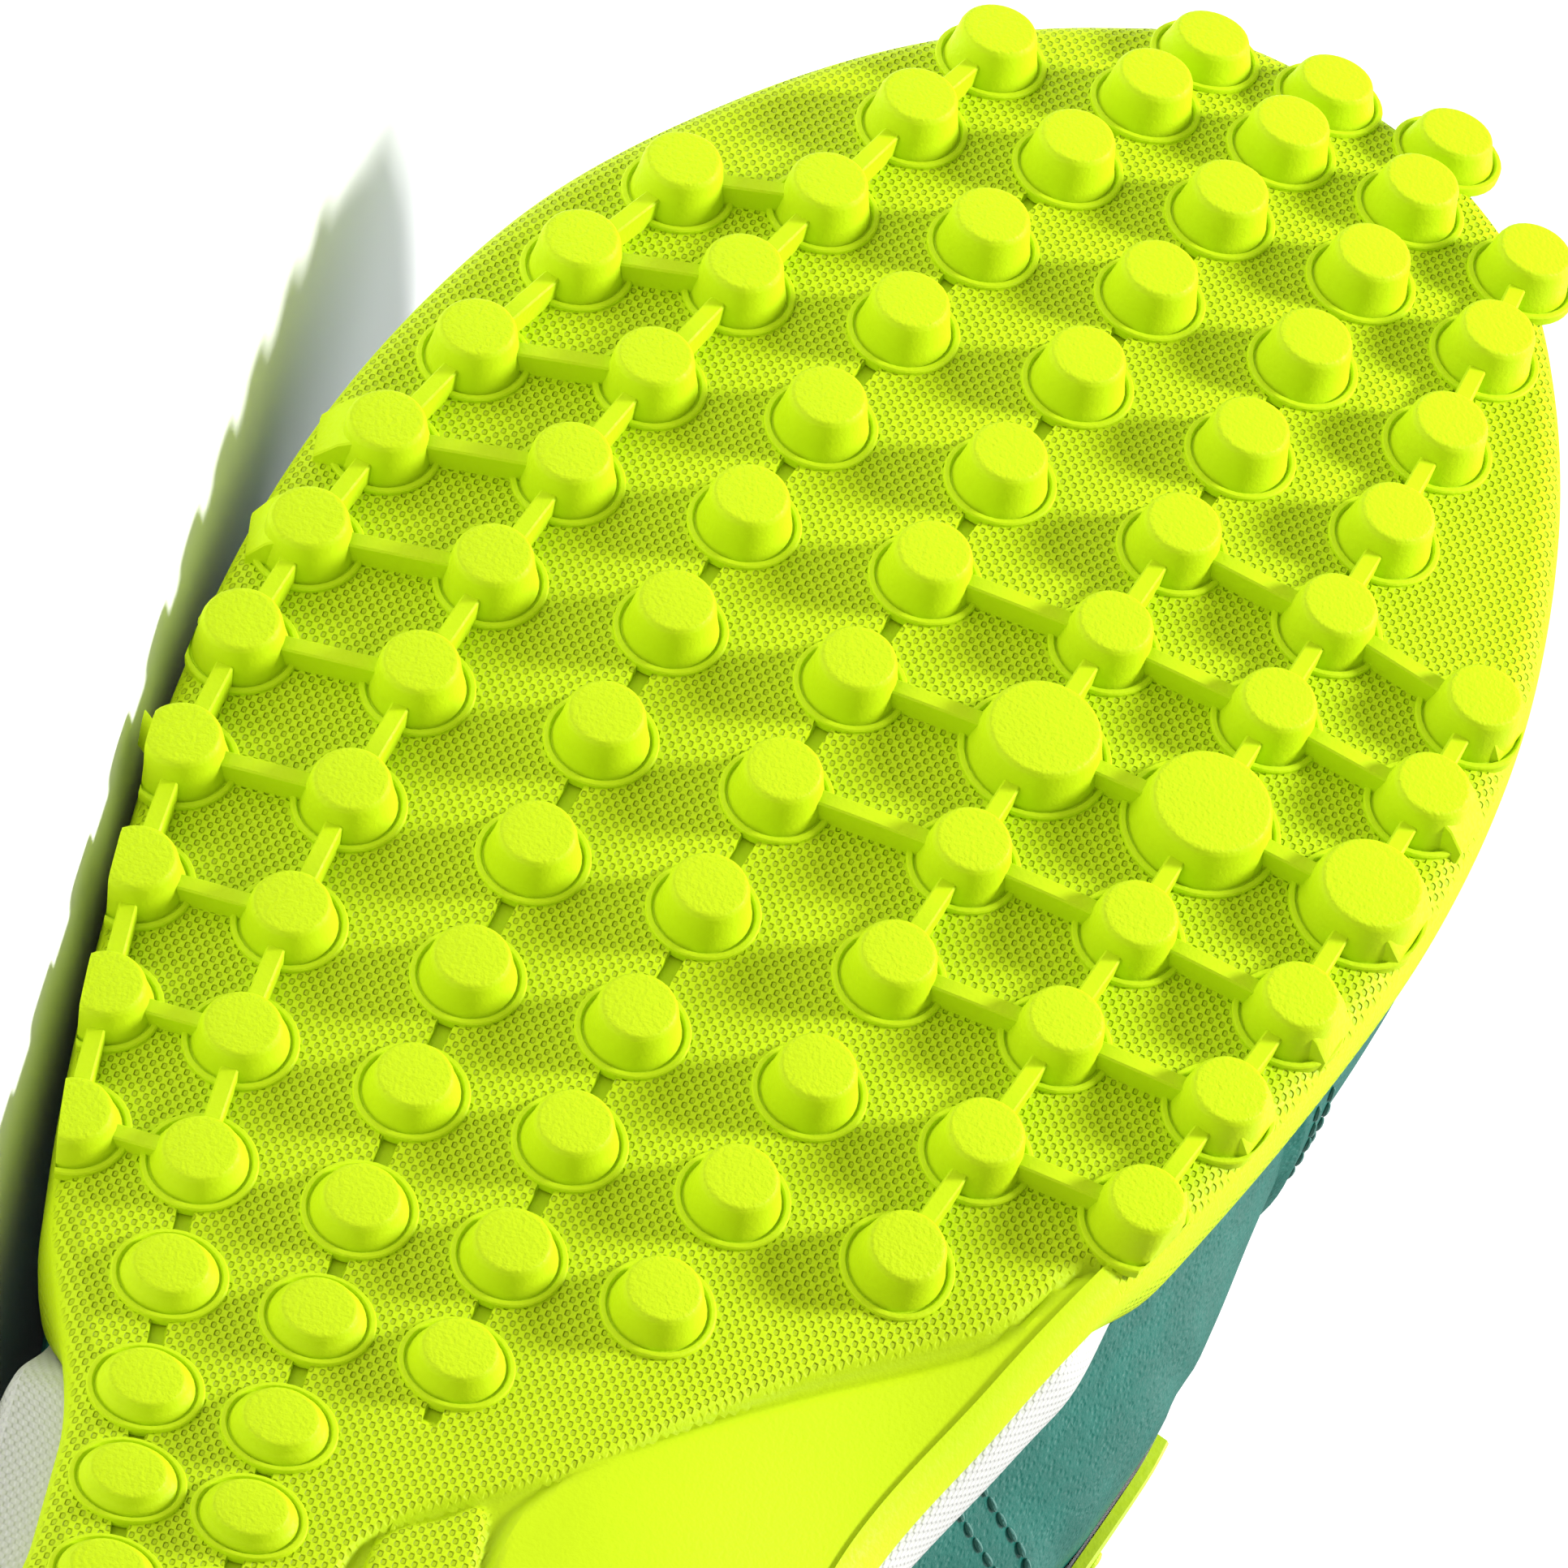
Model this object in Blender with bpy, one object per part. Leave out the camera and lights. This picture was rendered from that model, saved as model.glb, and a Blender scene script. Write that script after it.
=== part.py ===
"""Field hockey shoe for the right foot, adult size, modelled as a maker builds it.

The shoe is made in its wearing frame: +X to the outer side of the foot, +Y to the toe, +Z up,
with Z = 0 on the lowest line of the outsole between its studs. The last step lays it down on its
outer side, where the sole edge and the upper both touch the floor. Lengths are in metres.
"""

import math

import bmesh
import bpy
import numpy as np
from mathutils import Matrix, Vector
from mathutils.geometry import intersect_point_tri_2d

MM = 0.001

# Overall sizes of the sole
LENGTH = 285 * MM
BALL_WIDTH = 104 * MM
HEEL_WIDTH = 71 * MM
TOE_ROCKER = 430 * MM
HEEL_ROCKER = 320 * MM
CROWN_RADIUS = 365 * MM
ARCH_LIFT = 5.5 * MM
WAIST_CUT = 5.0 * MM

# Outsole rubber
PLATE = 2.6 * MM
EDGE_ROUND = 2.4 * MM
EDGE_SHOULDER = (0.30, 0.35)
RIM_WALL = 2.2 * MM
RIM_LEAN = 0.8 * MM
RIM_LIP = 0.6 * MM

# Studs
STUD_HEIGHT = 4.1 * MM
STUD_TOP = 3.3 * MM
STUD_FOOT = 4.25 * MM
BIG_TOP = 5.0 * MM
BIG_FOOT = 6.2 * MM
STUD_SIDES = 8
STUD_ROOT = 1.2 * MM
HEEL_STUD_SHARE = 0.85
RIB_TAPER = 0.8
RIB_SHARE = 0.6
RIB_START = 0.45
TOE_ROWS = 14
RIB_WIDTH = 1.7 * MM
RIB_HEIGHT = 2.1 * MM

# Midsole foam
HEEL_STACK = 22 * MM
BALL_STACK = 12.5 * MM
TOE_STACK = 11 * MM
MIDSOLE_BELLY = 0.8 * MM
MIDSOLE_BEVEL = 1.6 * MM
INSOLE_ROUND = 0.4 * MM

# Upper
COLLAR_HEIGHT = 64 * MM
INSTEP_HEIGHT = 76 * MM
TOE_BOX_HEIGHT = 37 * MM
WALL = 1.8 * MM
COLLAR_PAD = 3.0 * MM
OVERLAY_STEP = 0.8 * MM
FEATHER_INSET = 2.0 * MM
STEP_RUN = 1.2 * MM

# Insole, tongue, laces and eyelets
INSOLE_THICKNESS = 4.0 * MM
TONGUE_THICKNESS = 4.5 * MM
TONGUE_MARGIN = 8.0 * MM
TONGUE_RISE = 16 * MM
TONGUE_DROP = 1.1
LACE_WIDTH = 7.0 * MM
LACE_THICKNESS = 1.4 * MM
LACE_ARCH = 2.4 * MM
LACE_ROWS = 6
LACE_OVERLAP = 0.4
LACE_LIFT = 1.2 * MM
LACE_SHARES = (0.0, 0.17, 0.34)
LACE_REACHES = (1.0, 0.5, 0.02)
EYELET_INSET = 8.0 * MM
PANEL_THICKNESS = 1.0 * MM

# Clearance between neighbouring pieces
GAP = 0.3 * MM
ARCH_GAP = 0.6 * MM
PANEL_GAP = 0.5 * MM
TONGUE_GAP = 0.98 * MM

# Places along the length, as shares of it
HEEL_CENTRE = 0.125
TOE_CENTRE = 0.83
BALL_LINE = 0.66
HEEL_LINE = 0.12
COLLAR_FRONT = 0.39
VAMP_POINT = 0.665
TOE_CAP_END = 0.565
COUNTER_END = 0.24
LOW_EYELET = 0.640
TOP_EYELET = 0.425
HEEL_TOP_BACK = 0.035
WAIST_RANGE = (0.27, 0.35, 0.38, 0.46)
ARCH_RANGE = (0.20, 0.36, 0.42, 0.56)
ARCH_EDGE = (0.02, 0.30)
HEEL_TO_BALL = (0.15, 0.66)
BALL_TO_TOE = (0.70, 1.0)
OUTER_WRAP = (0.400, 0.450)
INNER_WRAP = (0.520, 0.572)
PAD_ALONG = (0.30, 0.40)
PAD_LEVELS = (0.60, 0.90)
STAY_MARGIN = 0.06

# Sole outline from heel to toe. Columns: along (share of LENGTH), the width that the row follows,
# reach to the inner side and reach to the outer side (shares of that width).
OUTLINE = [
    (0.012, HEEL_WIDTH, 0.190, 0.205),
    (0.045, HEEL_WIDTH, 0.372, 0.383),
    (0.105, HEEL_WIDTH, 0.478, 0.487),
    (0.175, HEEL_WIDTH, 0.490, 0.510),
    (0.263, HEEL_WIDTH, 0.425, 0.527),
    (0.340, BALL_WIDTH, 0.253, 0.378),
    (0.430, BALL_WIDTH, 0.265, 0.402),
    (0.500, BALL_WIDTH, 0.330, 0.437),
    (0.570, BALL_WIDTH, 0.405, 0.461),
    (0.640, BALL_WIDTH, 0.467, 0.474),
    (0.710, BALL_WIDTH, 0.510, 0.464),
    (0.780, BALL_WIDTH, 0.523, 0.424),
    (0.850, BALL_WIDTH, 0.503, 0.350),
    (0.910, BALL_WIDTH, 0.458, 0.238),
    (0.955, BALL_WIDTH, 0.395, 0.120),
    (0.986, BALL_WIDTH, 0.285, -0.010),
]
TOE_TIP_INWARD = 0.125

# Upper from heel to toe. Columns: along (share of LENGTH), height of the top edge or crest over
# the bed (share of the named height), half width of the collar or throat (share of BALL_WIDTH),
# belly of the inner and outer side (shares of BALL_WIDTH), how far the top turns inward and how
# far its edge stands upright (shares of the rib's own width and height).
UPPER = [
    (0.00, COLLAR_HEIGHT, 1.00, 0.235, 0.030, 0.030, 0.00, 0.42),
    (0.10, COLLAR_HEIGHT, 0.96, 0.245, 0.035, 0.035, 0.00, 0.42),
    (0.22, COLLAR_HEIGHT, 0.80, 0.262, 0.060, 0.030, 0.00, 0.38),
    (0.32, COLLAR_HEIGHT, 0.96, 0.245, 0.090, 0.025, 0.15, 0.25),
    (0.40, INSTEP_HEIGHT, 1.00, 0.175, 0.095, 0.020, 0.35, 0.12),
    (0.50, INSTEP_HEIGHT, 0.85, 0.135, 0.065, 0.018, 0.48, 0.03),
    (0.58, INSTEP_HEIGHT, 0.715, 0.100, 0.035, 0.015, 0.53, 0.00),
    (0.66, TOE_BOX_HEIGHT, 1.24, 0.052, 0.020, 0.012, 0.56, 0.00),
    (0.74, TOE_BOX_HEIGHT, 1.08, 0.000, 0.012, 0.010, 0.58, 0.00),
    (0.83, TOE_BOX_HEIGHT, 0.95, 0.000, 0.008, 0.008, 0.62, 0.00),
    (1.00, TOE_BOX_HEIGHT, 0.95, 0.000, 0.008, 0.008, 0.62, 0.00),
]

# Stud rows from the waist to the toe. Columns: along (share of LENGTH), backward bow at the outer
# and at the inner edge (shares of LENGTH), stud height (share of STUD_HEIGHT), squeeze along.
STUD_ROWS = [
    (0.341, 0.000, 0.000, 0.42, 0.82),
    (0.373, 0.000, 0.000, 0.42, 0.84),
    (0.404, 0.000, 0.000, 0.45, 0.88),
    (0.442, 0.000, 0.000, 0.48, 0.92),
    (0.481, 0.000, 0.000, 0.56, 1.00),
    (0.524, 0.000, 0.002, 0.68, 1.00),
    (0.567, 0.000, 0.002, 0.80, 1.00),
    (0.613, 0.002, 0.003, 0.92, 1.00),
    (0.659, 0.004, 0.009, 1.00, 1.00),
    (0.704, 0.008, 0.009, 1.00, 1.00),
    (0.749, 0.012, 0.013, 1.00, 1.00),
    (0.793, 0.015, 0.021, 1.00, 1.00),
    (0.838, 0.018, 0.034, 1.00, 1.00),
    (0.880, 0.022, 0.040, 1.00, 1.00),
    (0.921, 0.016, 0.044, 1.00, 1.00),
    (0.957, 0.014, 0.050, 0.95, 0.95),
    (0.985, 0.010, 0.050, 0.70, 0.88),
]
BOW_REACH = 0.42

# Stud columns from the outer to the inner side. Columns: name, place towards the outer side at
# the stations below (shares of BALL_WIDTH), first and last row, height added to the row's share
# before the rows of the toe.
COLUMN_STATIONS = (0.345, 0.482, 0.612, 0.749, 0.880, 0.978)
STUD_COLUMNS = [
    ("A", (0.390, 0.419, 0.446, 0.389, 0.250, 0.100), 4, 13, 0.12),
    ("B", (0.268, 0.318, 0.312, 0.245, 0.137, 0.034), 0, 15, 0.00),
    ("C", (0.181, 0.190, 0.164, 0.104, 0.008, -0.094), 0, 16, 0.00),
    ("D", (0.095, 0.070, 0.026, -0.044, -0.130, -0.201), 3, 16, 0.12),
    ("E", (0.010, -0.050, -0.126, -0.194, -0.262, -0.307), 4, 16, 0.22),
    ("F", (-0.080, -0.180, -0.263, -0.333, -0.384, -0.404), 5, 15, 0.30),
    ("G", (-0.180, -0.300, -0.399, -0.467, -0.500, -0.500), 6, 11, 0.30),
]
BIG_STUDS = {("E", 9): 0.94, ("F", 9): 1.0, ("G", 9): 0.86}

# Ribs between studs. Columns: direction, column or row, first and last stud.
COLUMN_RIBS = [("A", 4, 13), ("B", 4, 15), ("E", 7, 11), ("F", 5, 15), ("G", 6, 11)]
ROW_RIBS = [
    (4, "A", "B"), (5, "A", "B"), (6, "A", "B"), (7, "A", "B"), (8, "A", "B"),
    (9, "A", "B"), (10, "A", "B"), (11, "A", "B"), (12, "A", "B"), (13, "A", "B"),
    (6, "F", "G"), (7, "E", "G"), (8, "D", "G"), (9, "D", "G"), (10, "D", "G"), (11, "E", "G"),
]

# Heel studs. Columns: along (share of LENGTH), places across (shares of HEEL_WIDTH).
HEEL_STUDS = [
    (0.045, (-0.17, 0.17)),
    (0.090, (-0.34, 0.0, 0.34)),
    (0.137, (-0.39, -0.13, 0.13, 0.39)),
    (0.184, (-0.39, -0.13, 0.13, 0.40)),
    (0.231, (-0.35, -0.11, 0.15, 0.42)),
    (0.278, (0.18, 0.43)),
]

# Tongue under the eyestay. Columns: along (share of LENGTH), reach past the throat's edge
# (share of TONGUE_MARGIN).
TONGUE_STATIONS = [
    (0.690, 1.00),
    (0.640, 1.00),
    (0.580, 1.00),
    (0.520, 0.90),
    (0.460, 0.75),
    (0.420, 0.60),
]

# Tongue over the top eyelets. Columns: back and up (shares of TONGUE_RISE), width (share).
TONGUE_END = [
    (0.25, 0.04, 0.72),
    (0.75, 0.60, 0.72),
    (1.10, 1.10, 0.62),
]

# Inner side panel. Columns: along (share of LENGTH), low and high edge (shares up the rib).
PANEL = [
    (0.175, 0.50, 0.62),
    (0.220, 0.44, 0.72),
    (0.290, 0.42, 0.77),
    (0.360, 0.45, 0.78),
    (0.420, 0.52, 0.78),
    (0.465, 0.62, 0.78),
    (0.495, 0.70, 0.78),
]

# Densities of the pieces, in kg per cubic metre, for the balance of the shoe
RUBBER_DENSITY = 1100
FOAM_DENSITY = 260
LEATHER_DENSITY = 850
CLOTH_DENSITY = 300

STATION_COUNT = 20
TOE_RAY_COUNT = 12
HEEL_RAY_COUNT = 10
PANEL_SECTIONS = 13
PANEL_POINTS = 7
LYING_ROUNDS = 6
SMOOTH_ANGLE = 35

# Fineness of the working: merged points, points that count as one, and steps for slopes
WELD = 0.002 * MM
SAME_PLACE = 0.01 * MM
SLOPE_STEP = 0.5 * MM
THROAT_STEP = 5 * MM
TABLE_POINTS = 12
OUTLINE_SPAN_POINTS = 24


def curve_through(points, per_span, closed):
    """Points on a Catmull-Rom curve that passes through the given points."""
    points = np.asarray(points, float)
    count = len(points)
    spans = count if closed else count - 1
    found = []
    for k in range(spans):
        if closed:
            near = [points[(k + j) % count] for j in (-1, 0, 1, 2)]
        else:
            near = [points[min(max(k + j, 0), count - 1)] for j in (-1, 0, 1, 2)]
        before, here, there, after = near
        for step in range(per_span):
            t = step / per_span
            found.append(0.5 * (2 * here + (there - before) * t
                                + (2 * before - 5 * here + 4 * there - after) * t ** 2
                                + (3 * here - before - 3 * there + after) * t ** 3))
    if not closed:
        found.append(points[-1])
    return np.array(found)


def table_curve(rows, column, along):
    """Value of a table's column at a place along, on a smooth curve through its rows."""
    dense = curve_through([(row[0], column(row)) for row in rows], TABLE_POINTS, False)
    return np.interp(along, dense[:, 0], dense[:, 1])


def ease(low, high, value):
    """Smooth step from 0 at low to 1 at high."""
    t = np.clip((np.asarray(value, float) - low) / (high - low), 0.0, 1.0)
    return t * t * (3 - 2 * t)


def bell(places, value):
    """Smooth rise from 0 to 1 between the first two places and fall between the last two."""
    return ease(*places[:2], value) * (1 - ease(*places[2:], value))


def outline_points():
    """Dense closed outline: heel, outer side, toe tip, inner side."""
    outer = [(row[1] * row[3], row[0] * LENGTH) for row in OUTLINE]
    inner = [(-row[1] * row[2], row[0] * LENGTH) for row in OUTLINE]
    keys = [(0.0, 0.0)] + outer + [(-TOE_TIP_INWARD * BALL_WIDTH, LENGTH)] + inner[::-1]
    return curve_through(keys, OUTLINE_SPAN_POINTS, True)


OUTLINE_POINTS = outline_points()
TIP_INDEX = int(np.argmax(OUTLINE_POINTS[:, 1]))


def edge_at(y):
    """Outer and inner edge of the outline at a place along."""
    outer = OUTLINE_POINTS[:TIP_INDEX + 1]
    inner = OUTLINE_POINTS[TIP_INDEX:][::-1]
    return (np.interp(y, outer[:, 1], outer[:, 0]), np.interp(y, inner[:, 1], inner[:, 0]))


def axis_x(y):
    """Middle line of the shoe: straight from the heel's centre to the toe's centre."""
    ends = [sum(edge_at(share * LENGTH)) / 2 for share in (HEEL_CENTRE, TOE_CENTRE)]
    share = (np.asarray(y) / LENGTH - HEEL_CENTRE) / (TOE_CENTRE - HEEL_CENTRE)
    return ends[0] + np.clip(share, 0, 1) * (ends[1] - ends[0])


def make_rays():
    """Rays from the middle line to the outline, round the sole.

    Each ray is (centre, edge, direction). Along the foot they run straight across; round the toe
    and the heel they fan out from one centre.
    """
    first, last = HEEL_CENTRE * LENGTH, TOE_CENTRE * LENGTH
    marks = [first, last, VAMP_POINT * LENGTH]
    for share in (COUNTER_END, TOE_CAP_END):
        marks += [share * LENGTH, share * LENGTH + STEP_RUN]
    even = np.linspace(first, last, STATION_COUNT + 1)
    kept = sorted([y for y in even if min(abs(y - m) for m in marks) > 2 * STEP_RUN] + marks)
    rays = []
    for y in kept:
        rays.append((np.array([axis_x(y), y]), np.array([edge_at(y)[0], y])))
    rays += fan(TOE_CENTRE, 0.0, math.pi, TOE_RAY_COUNT)
    for y in kept[::-1]:
        rays.append((np.array([axis_x(y), y]), np.array([edge_at(y)[1], y])))
    rays += fan(HEEL_CENTRE, math.pi, 2 * math.pi, HEEL_RAY_COUNT)
    return [(c, e, (e - c) / np.linalg.norm(e - c)) for c, e in rays], len(kept)


def fan(share, start, end, count):
    """Rays between two directions from one centre, without the two end rays."""
    y = share * LENGTH
    centre = np.array([axis_x(y), y])
    angles = np.arctan2(OUTLINE_POINTS[:, 1] - y, OUTLINE_POINTS[:, 0] - centre[0])
    angles = np.mod(angles + 2 * math.pi, 2 * math.pi)
    reach = np.hypot(*(OUTLINE_POINTS - centre).T)
    order = np.argsort(angles)
    rays = []
    for k in range(1, count):
        turn = start + (end - start) * k / count
        radius = np.interp(turn, angles[order], reach[order], period=2 * math.pi)
        rays.append((centre, centre + radius * np.array([math.cos(turn), math.sin(turn)])))
    return rays


def waist_cut(point):
    """How far the rubber's edge is cut in at the outer side of the waist."""
    x, y = point
    return WAIST_CUT * bell(WAIST_RANGE, y / LENGTH) * (x > axis_x(y))


def rocker(y):
    """Rise of the sole's underside towards the toe and the heel."""
    toe = np.maximum(0, y - BALL_LINE * LENGTH) ** 2 / (2 * TOE_ROCKER)
    heel = np.maximum(0, HEEL_LINE * LENGTH - y) ** 2 / (2 * HEEL_ROCKER)
    return toe + heel


def ground(x, y):
    """Underside of the outsole between the studs: rocker, crown and raised inner arch."""
    inward = (axis_x(y) - x) / BALL_WIDTH
    arch = ARCH_LIFT * bell(ARCH_RANGE, y / LENGTH) * ease(*ARCH_EDGE, inward)
    return rocker(y) + x ** 2 / (2 * CROWN_RADIUS) + arch


def stack(y):
    """Thickness of rubber and foam under the foot."""
    along = np.asarray(y) / LENGTH
    heel_part = HEEL_STACK + (BALL_STACK - HEEL_STACK) * ease(*HEEL_TO_BALL, along)
    return heel_part + (TOE_STACK - BALL_STACK) * ease(*BALL_TO_TOE, along)


def bed(y):
    """Height of the foot bed, on top of the foam."""
    return rocker(y) + stack(y)


def rim_share(point):
    """1 where the rubber wraps up to the upper, 0 where it stops at the sole's edge."""
    x, y = point
    return ease(*(OUTER_WRAP if x > axis_x(y) else INNER_WRAP), y / LENGTH)


def ray_point(ray, inset):
    """Plan point on a ray, this far inside the outline."""
    return ray[1] - inset * ray[2]


def build_mesh(name, rings, material):
    """One closed mesh from rings of points, whose first and last ring lie on the middle line."""
    bm = bmesh.new()
    made = []
    for ring in rings:
        made.append([bm.verts.new(p) for p in ring])
    for low, high in zip(made, made[1:]):
        join_rings(bm, low, high)
    bmesh.ops.remove_doubles(bm, verts=bm.verts, dist=WELD)
    bmesh.ops.dissolve_degenerate(bm, dist=WELD, edges=bm.edges)
    bmesh.ops.recalc_face_normals(bm, faces=bm.faces)
    return finish_mesh(name, bm, material)


def join_rings(bm, low, high, kept=None):
    """Faces between two closed rings with the same count, or between the kept points alone."""
    count = len(low)
    for k in range(count):
        if kept is not None and not (kept[k] or kept[(k + 1) % count]):
            continue
        corners = [low[k], low[(k + 1) % count], high[(k + 1) % count], high[k]]
        places = []
        for corner in corners:
            if all((corner.co - other.co).length > WELD for other in places):
                places.append(corner)
        if len(places) > 2:
            bm.faces.new(places)


def finish_mesh(name, bm, material):
    """Object from a bmesh, with outward faces and its material."""
    if bm.calc_volume(signed=True) < 0:
        bmesh.ops.reverse_faces(bm, faces=bm.faces)
    mesh = bpy.data.meshes.new(name)
    bm.to_mesh(mesh)
    bm.free()
    mesh.shade_smooth()
    mesh.set_sharp_from_angle(angle=math.radians(SMOOTH_ANGLE))
    obj = bpy.data.objects.new(name, mesh)
    bpy.context.scene.collection.objects.link(obj)
    mesh.materials.append(material)
    return obj


def plain_material(name, colour, roughness):
    """Principled material with one colour."""
    material = bpy.data.materials.new(name)
    material.use_nodes = True
    shader = material.node_tree.nodes["Principled BSDF"]
    shader.inputs["Base Color"].default_value = (*colour, 1.0)
    shader.inputs["Roughness"].default_value = roughness
    return material


def flat_rings(rays, shares, inset, height):
    """Rings from the middle line outwards, at shares of the way to an inset edge."""
    rings = []
    for share in shares:
        ring = []
        for ray in rays:
            x, y = ray[0] + share * (ray_point(ray, inset(ray)) - ray[0])
            ring.append((x, y, height(x, y)))
        rings.append(ring)
    return rings


def side_ring(rays, inset, height):
    """One ring of the side: inset and height are worked out for each ray."""
    ring = []
    for ray in rays:
        x, y = ray_point(ray, inset(ray))
        ring.append((x, y, height(ray)))
    return ring


def edge_ground(ray):
    """Underside height at the outline."""
    return float(ground(*ray[1]))


def rim_top(ray):
    """Height where the rubber's side ends."""
    low = edge_ground(ray) + PLATE + RIM_LIP
    high = float(bed(ray[1][1])) - 2 * GAP
    return low + (high - low) * float(rim_share(ray[1]))


def outsole_base(rays, material):
    """Rubber plate with its rolled edge and the wrap that rises round the forefoot."""
    cut = lambda ray: float(waist_cut(ray[1]))
    bottom_edge = lambda ray: cut(ray) + EDGE_ROUND
    inner_edge = lambda ray: cut(ray) + RIM_LEAN + RIM_WALL
    rings = flat_rings(rays, (0.0, 0.36, 0.70, 1.0), bottom_edge, ground)
    rings.append(side_ring(rays, lambda r: cut(r) + EDGE_SHOULDER[0] * EDGE_ROUND,
                           lambda r: edge_ground(r) + EDGE_SHOULDER[1] * EDGE_ROUND))
    rings.append(side_ring(rays, cut, lambda r: edge_ground(r) + EDGE_ROUND))
    rings.append(side_ring(rays, lambda r: cut(r) + RIM_LEAN, rim_top))
    rings.append(side_ring(rays, inner_edge, rim_top))
    top = lambda x, y: ground(x, y) + PLATE
    rings += flat_rings(rays, (1.0, 0.5, 0.0), inner_edge, top)
    return build_mesh("outsole", rings, material)


def column_place(column, along):
    """Place towards the outer side of a stud column."""
    places = next(c[1] for c in STUD_COLUMNS if c[0] == column)
    return BALL_WIDTH * table_curve(list(zip(COLUMN_STATIONS, places)), lambda r: r[1], along)


def stud_place(column, row):
    """Plan point of a stud in the grid of rows and columns."""
    along, bow_outer, bow_inner = STUD_ROWS[row][:3]
    x = column_place(column, along)
    side = (x - column_place("D", along)) / (BOW_REACH * BALL_WIDTH)
    bow = (bow_outer if side > 0 else bow_inner) * side ** 2
    return np.array([x, (along - bow) * LENGTH])


def stud_list():
    """Every stud as (column, row, place, height, top radius, foot radius, squeeze along)."""
    studs = []
    for name, _, first, last, lift in STUD_COLUMNS:
        for row in range(first, last + 1):
            share, squeeze = STUD_ROWS[row][3:]
            share = min(1.0, share + lift * (row < TOE_ROWS))
            size = BIG_STUDS.get((name, row))
            top = STUD_TOP if size is None else BIG_TOP * size
            foot = STUD_FOOT if size is None else BIG_FOOT * size
            studs.append((name, row, stud_place(name, row), STUD_HEIGHT * share,
                          top, foot, squeeze))
    for k, (along, places) in enumerate(HEEL_STUDS):
        for j, across in enumerate(places):
            place = np.array([across * HEEL_WIDTH, along * LENGTH])
            height = HEEL_STUD_SHARE * STUD_HEIGHT
            studs.append((f"H{k}", j, place, height, STUD_TOP, STUD_FOOT, 1.0))
    return studs


def surface_frame(place):
    """Point on the underside with its outward normal and two directions across and along."""
    x, y = float(place[0]), float(place[1])
    step = SLOPE_STEP
    slope_x = float(ground(x + step, y) - ground(x - step, y)) / (2 * step)
    slope_y = float(ground(x, y + step) - ground(x, y - step)) / (2 * step)
    point = Vector((x, y, float(ground(x, y))))
    normal = Vector((slope_x, slope_y, -1.0)).normalized()
    across = Vector((1.0, 0.0, slope_x)).normalized()
    along = normal.cross(across).normalized()
    if along.y < 0:
        along = -along
    return point, normal, across, along


def add_stud(bm, stud):
    """Closed cone frustum, sunk into the plate by STUD_ROOT."""
    place, height, top, foot, squeeze = stud[2:]
    point, normal, across, along = surface_frame(place)
    rings = []
    for level, radius in ((-STUD_ROOT, foot), (height, top)):
        ring = []
        for k in range(STUD_SIDES):
            turn = 2 * math.pi * (k + 0.5) / STUD_SIDES
            spot = point + normal * level
            spot += across * radius * math.cos(turn)
            spot += along * radius * squeeze * math.sin(turn)
            ring.append(bm.verts.new(spot))
        rings.append(ring)
    join_rings(bm, rings[0], rings[1])
    bm.faces.new(rings[0][::-1])
    bm.faces.new(rings[1])


def add_bar(bm, start, end, height):
    """Closed bar between two places on the underside, sunk by STUD_ROOT."""
    corners = []
    run = end - start
    side = Vector((-run[1], run[0], 0.0)).normalized() * (RIB_WIDTH / 2)
    for place in (start, end):
        point, normal = surface_frame(place)[:2]
        for level in (-STUD_ROOT, height):
            for sign in (-1, 1):
                taper = 1.0 if level < 0 else RIB_TAPER
                corners.append(bm.verts.new(point + normal * level + side * sign * taper))
    a, b, c, d, e, f, g, h = corners
    for face in ((a, b, d, c), (e, g, h, f), (a, c, g, e), (b, f, h, d), (c, d, h, g), (a, e, f, b)):
        bm.faces.new(face)


def cutter_object(name, bm):
    """Helper object for a Boolean, left out of the model."""
    bmesh.ops.remove_doubles(bm, verts=bm.verts, dist=0.05 * WELD)
    bmesh.ops.recalc_face_normals(bm, faces=bm.faces)
    mesh = bpy.data.meshes.new(name)
    bm.to_mesh(mesh)
    bm.free()
    obj = bpy.data.objects.new(name, mesh)
    bpy.context.scene.collection.objects.link(obj)
    obj.hide_render = True
    obj.display_type = "WIRE"
    return obj


def unite(target, helper, solver="EXACT"):
    """Boolean union of a helper into the target."""
    modifier = target.modifiers.new(helper.name, "BOOLEAN")
    modifier.operation = "UNION"
    modifier.solver = solver
    modifier.object = helper


def rib_pairs():
    """Pairs of studs that a rib joins."""
    pairs = []
    for column, first, last in COLUMN_RIBS:
        pairs += [((column, row), (column, row + 1)) for row in range(first, last)]
    names = [c[0] for c in STUD_COLUMNS]
    for row, start, end in ROW_RIBS:
        span = names[names.index(start):names.index(end) + 1]
        pairs += [((a, row), (b, row)) for a, b in zip(span, span[1:])]
    return pairs


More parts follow.
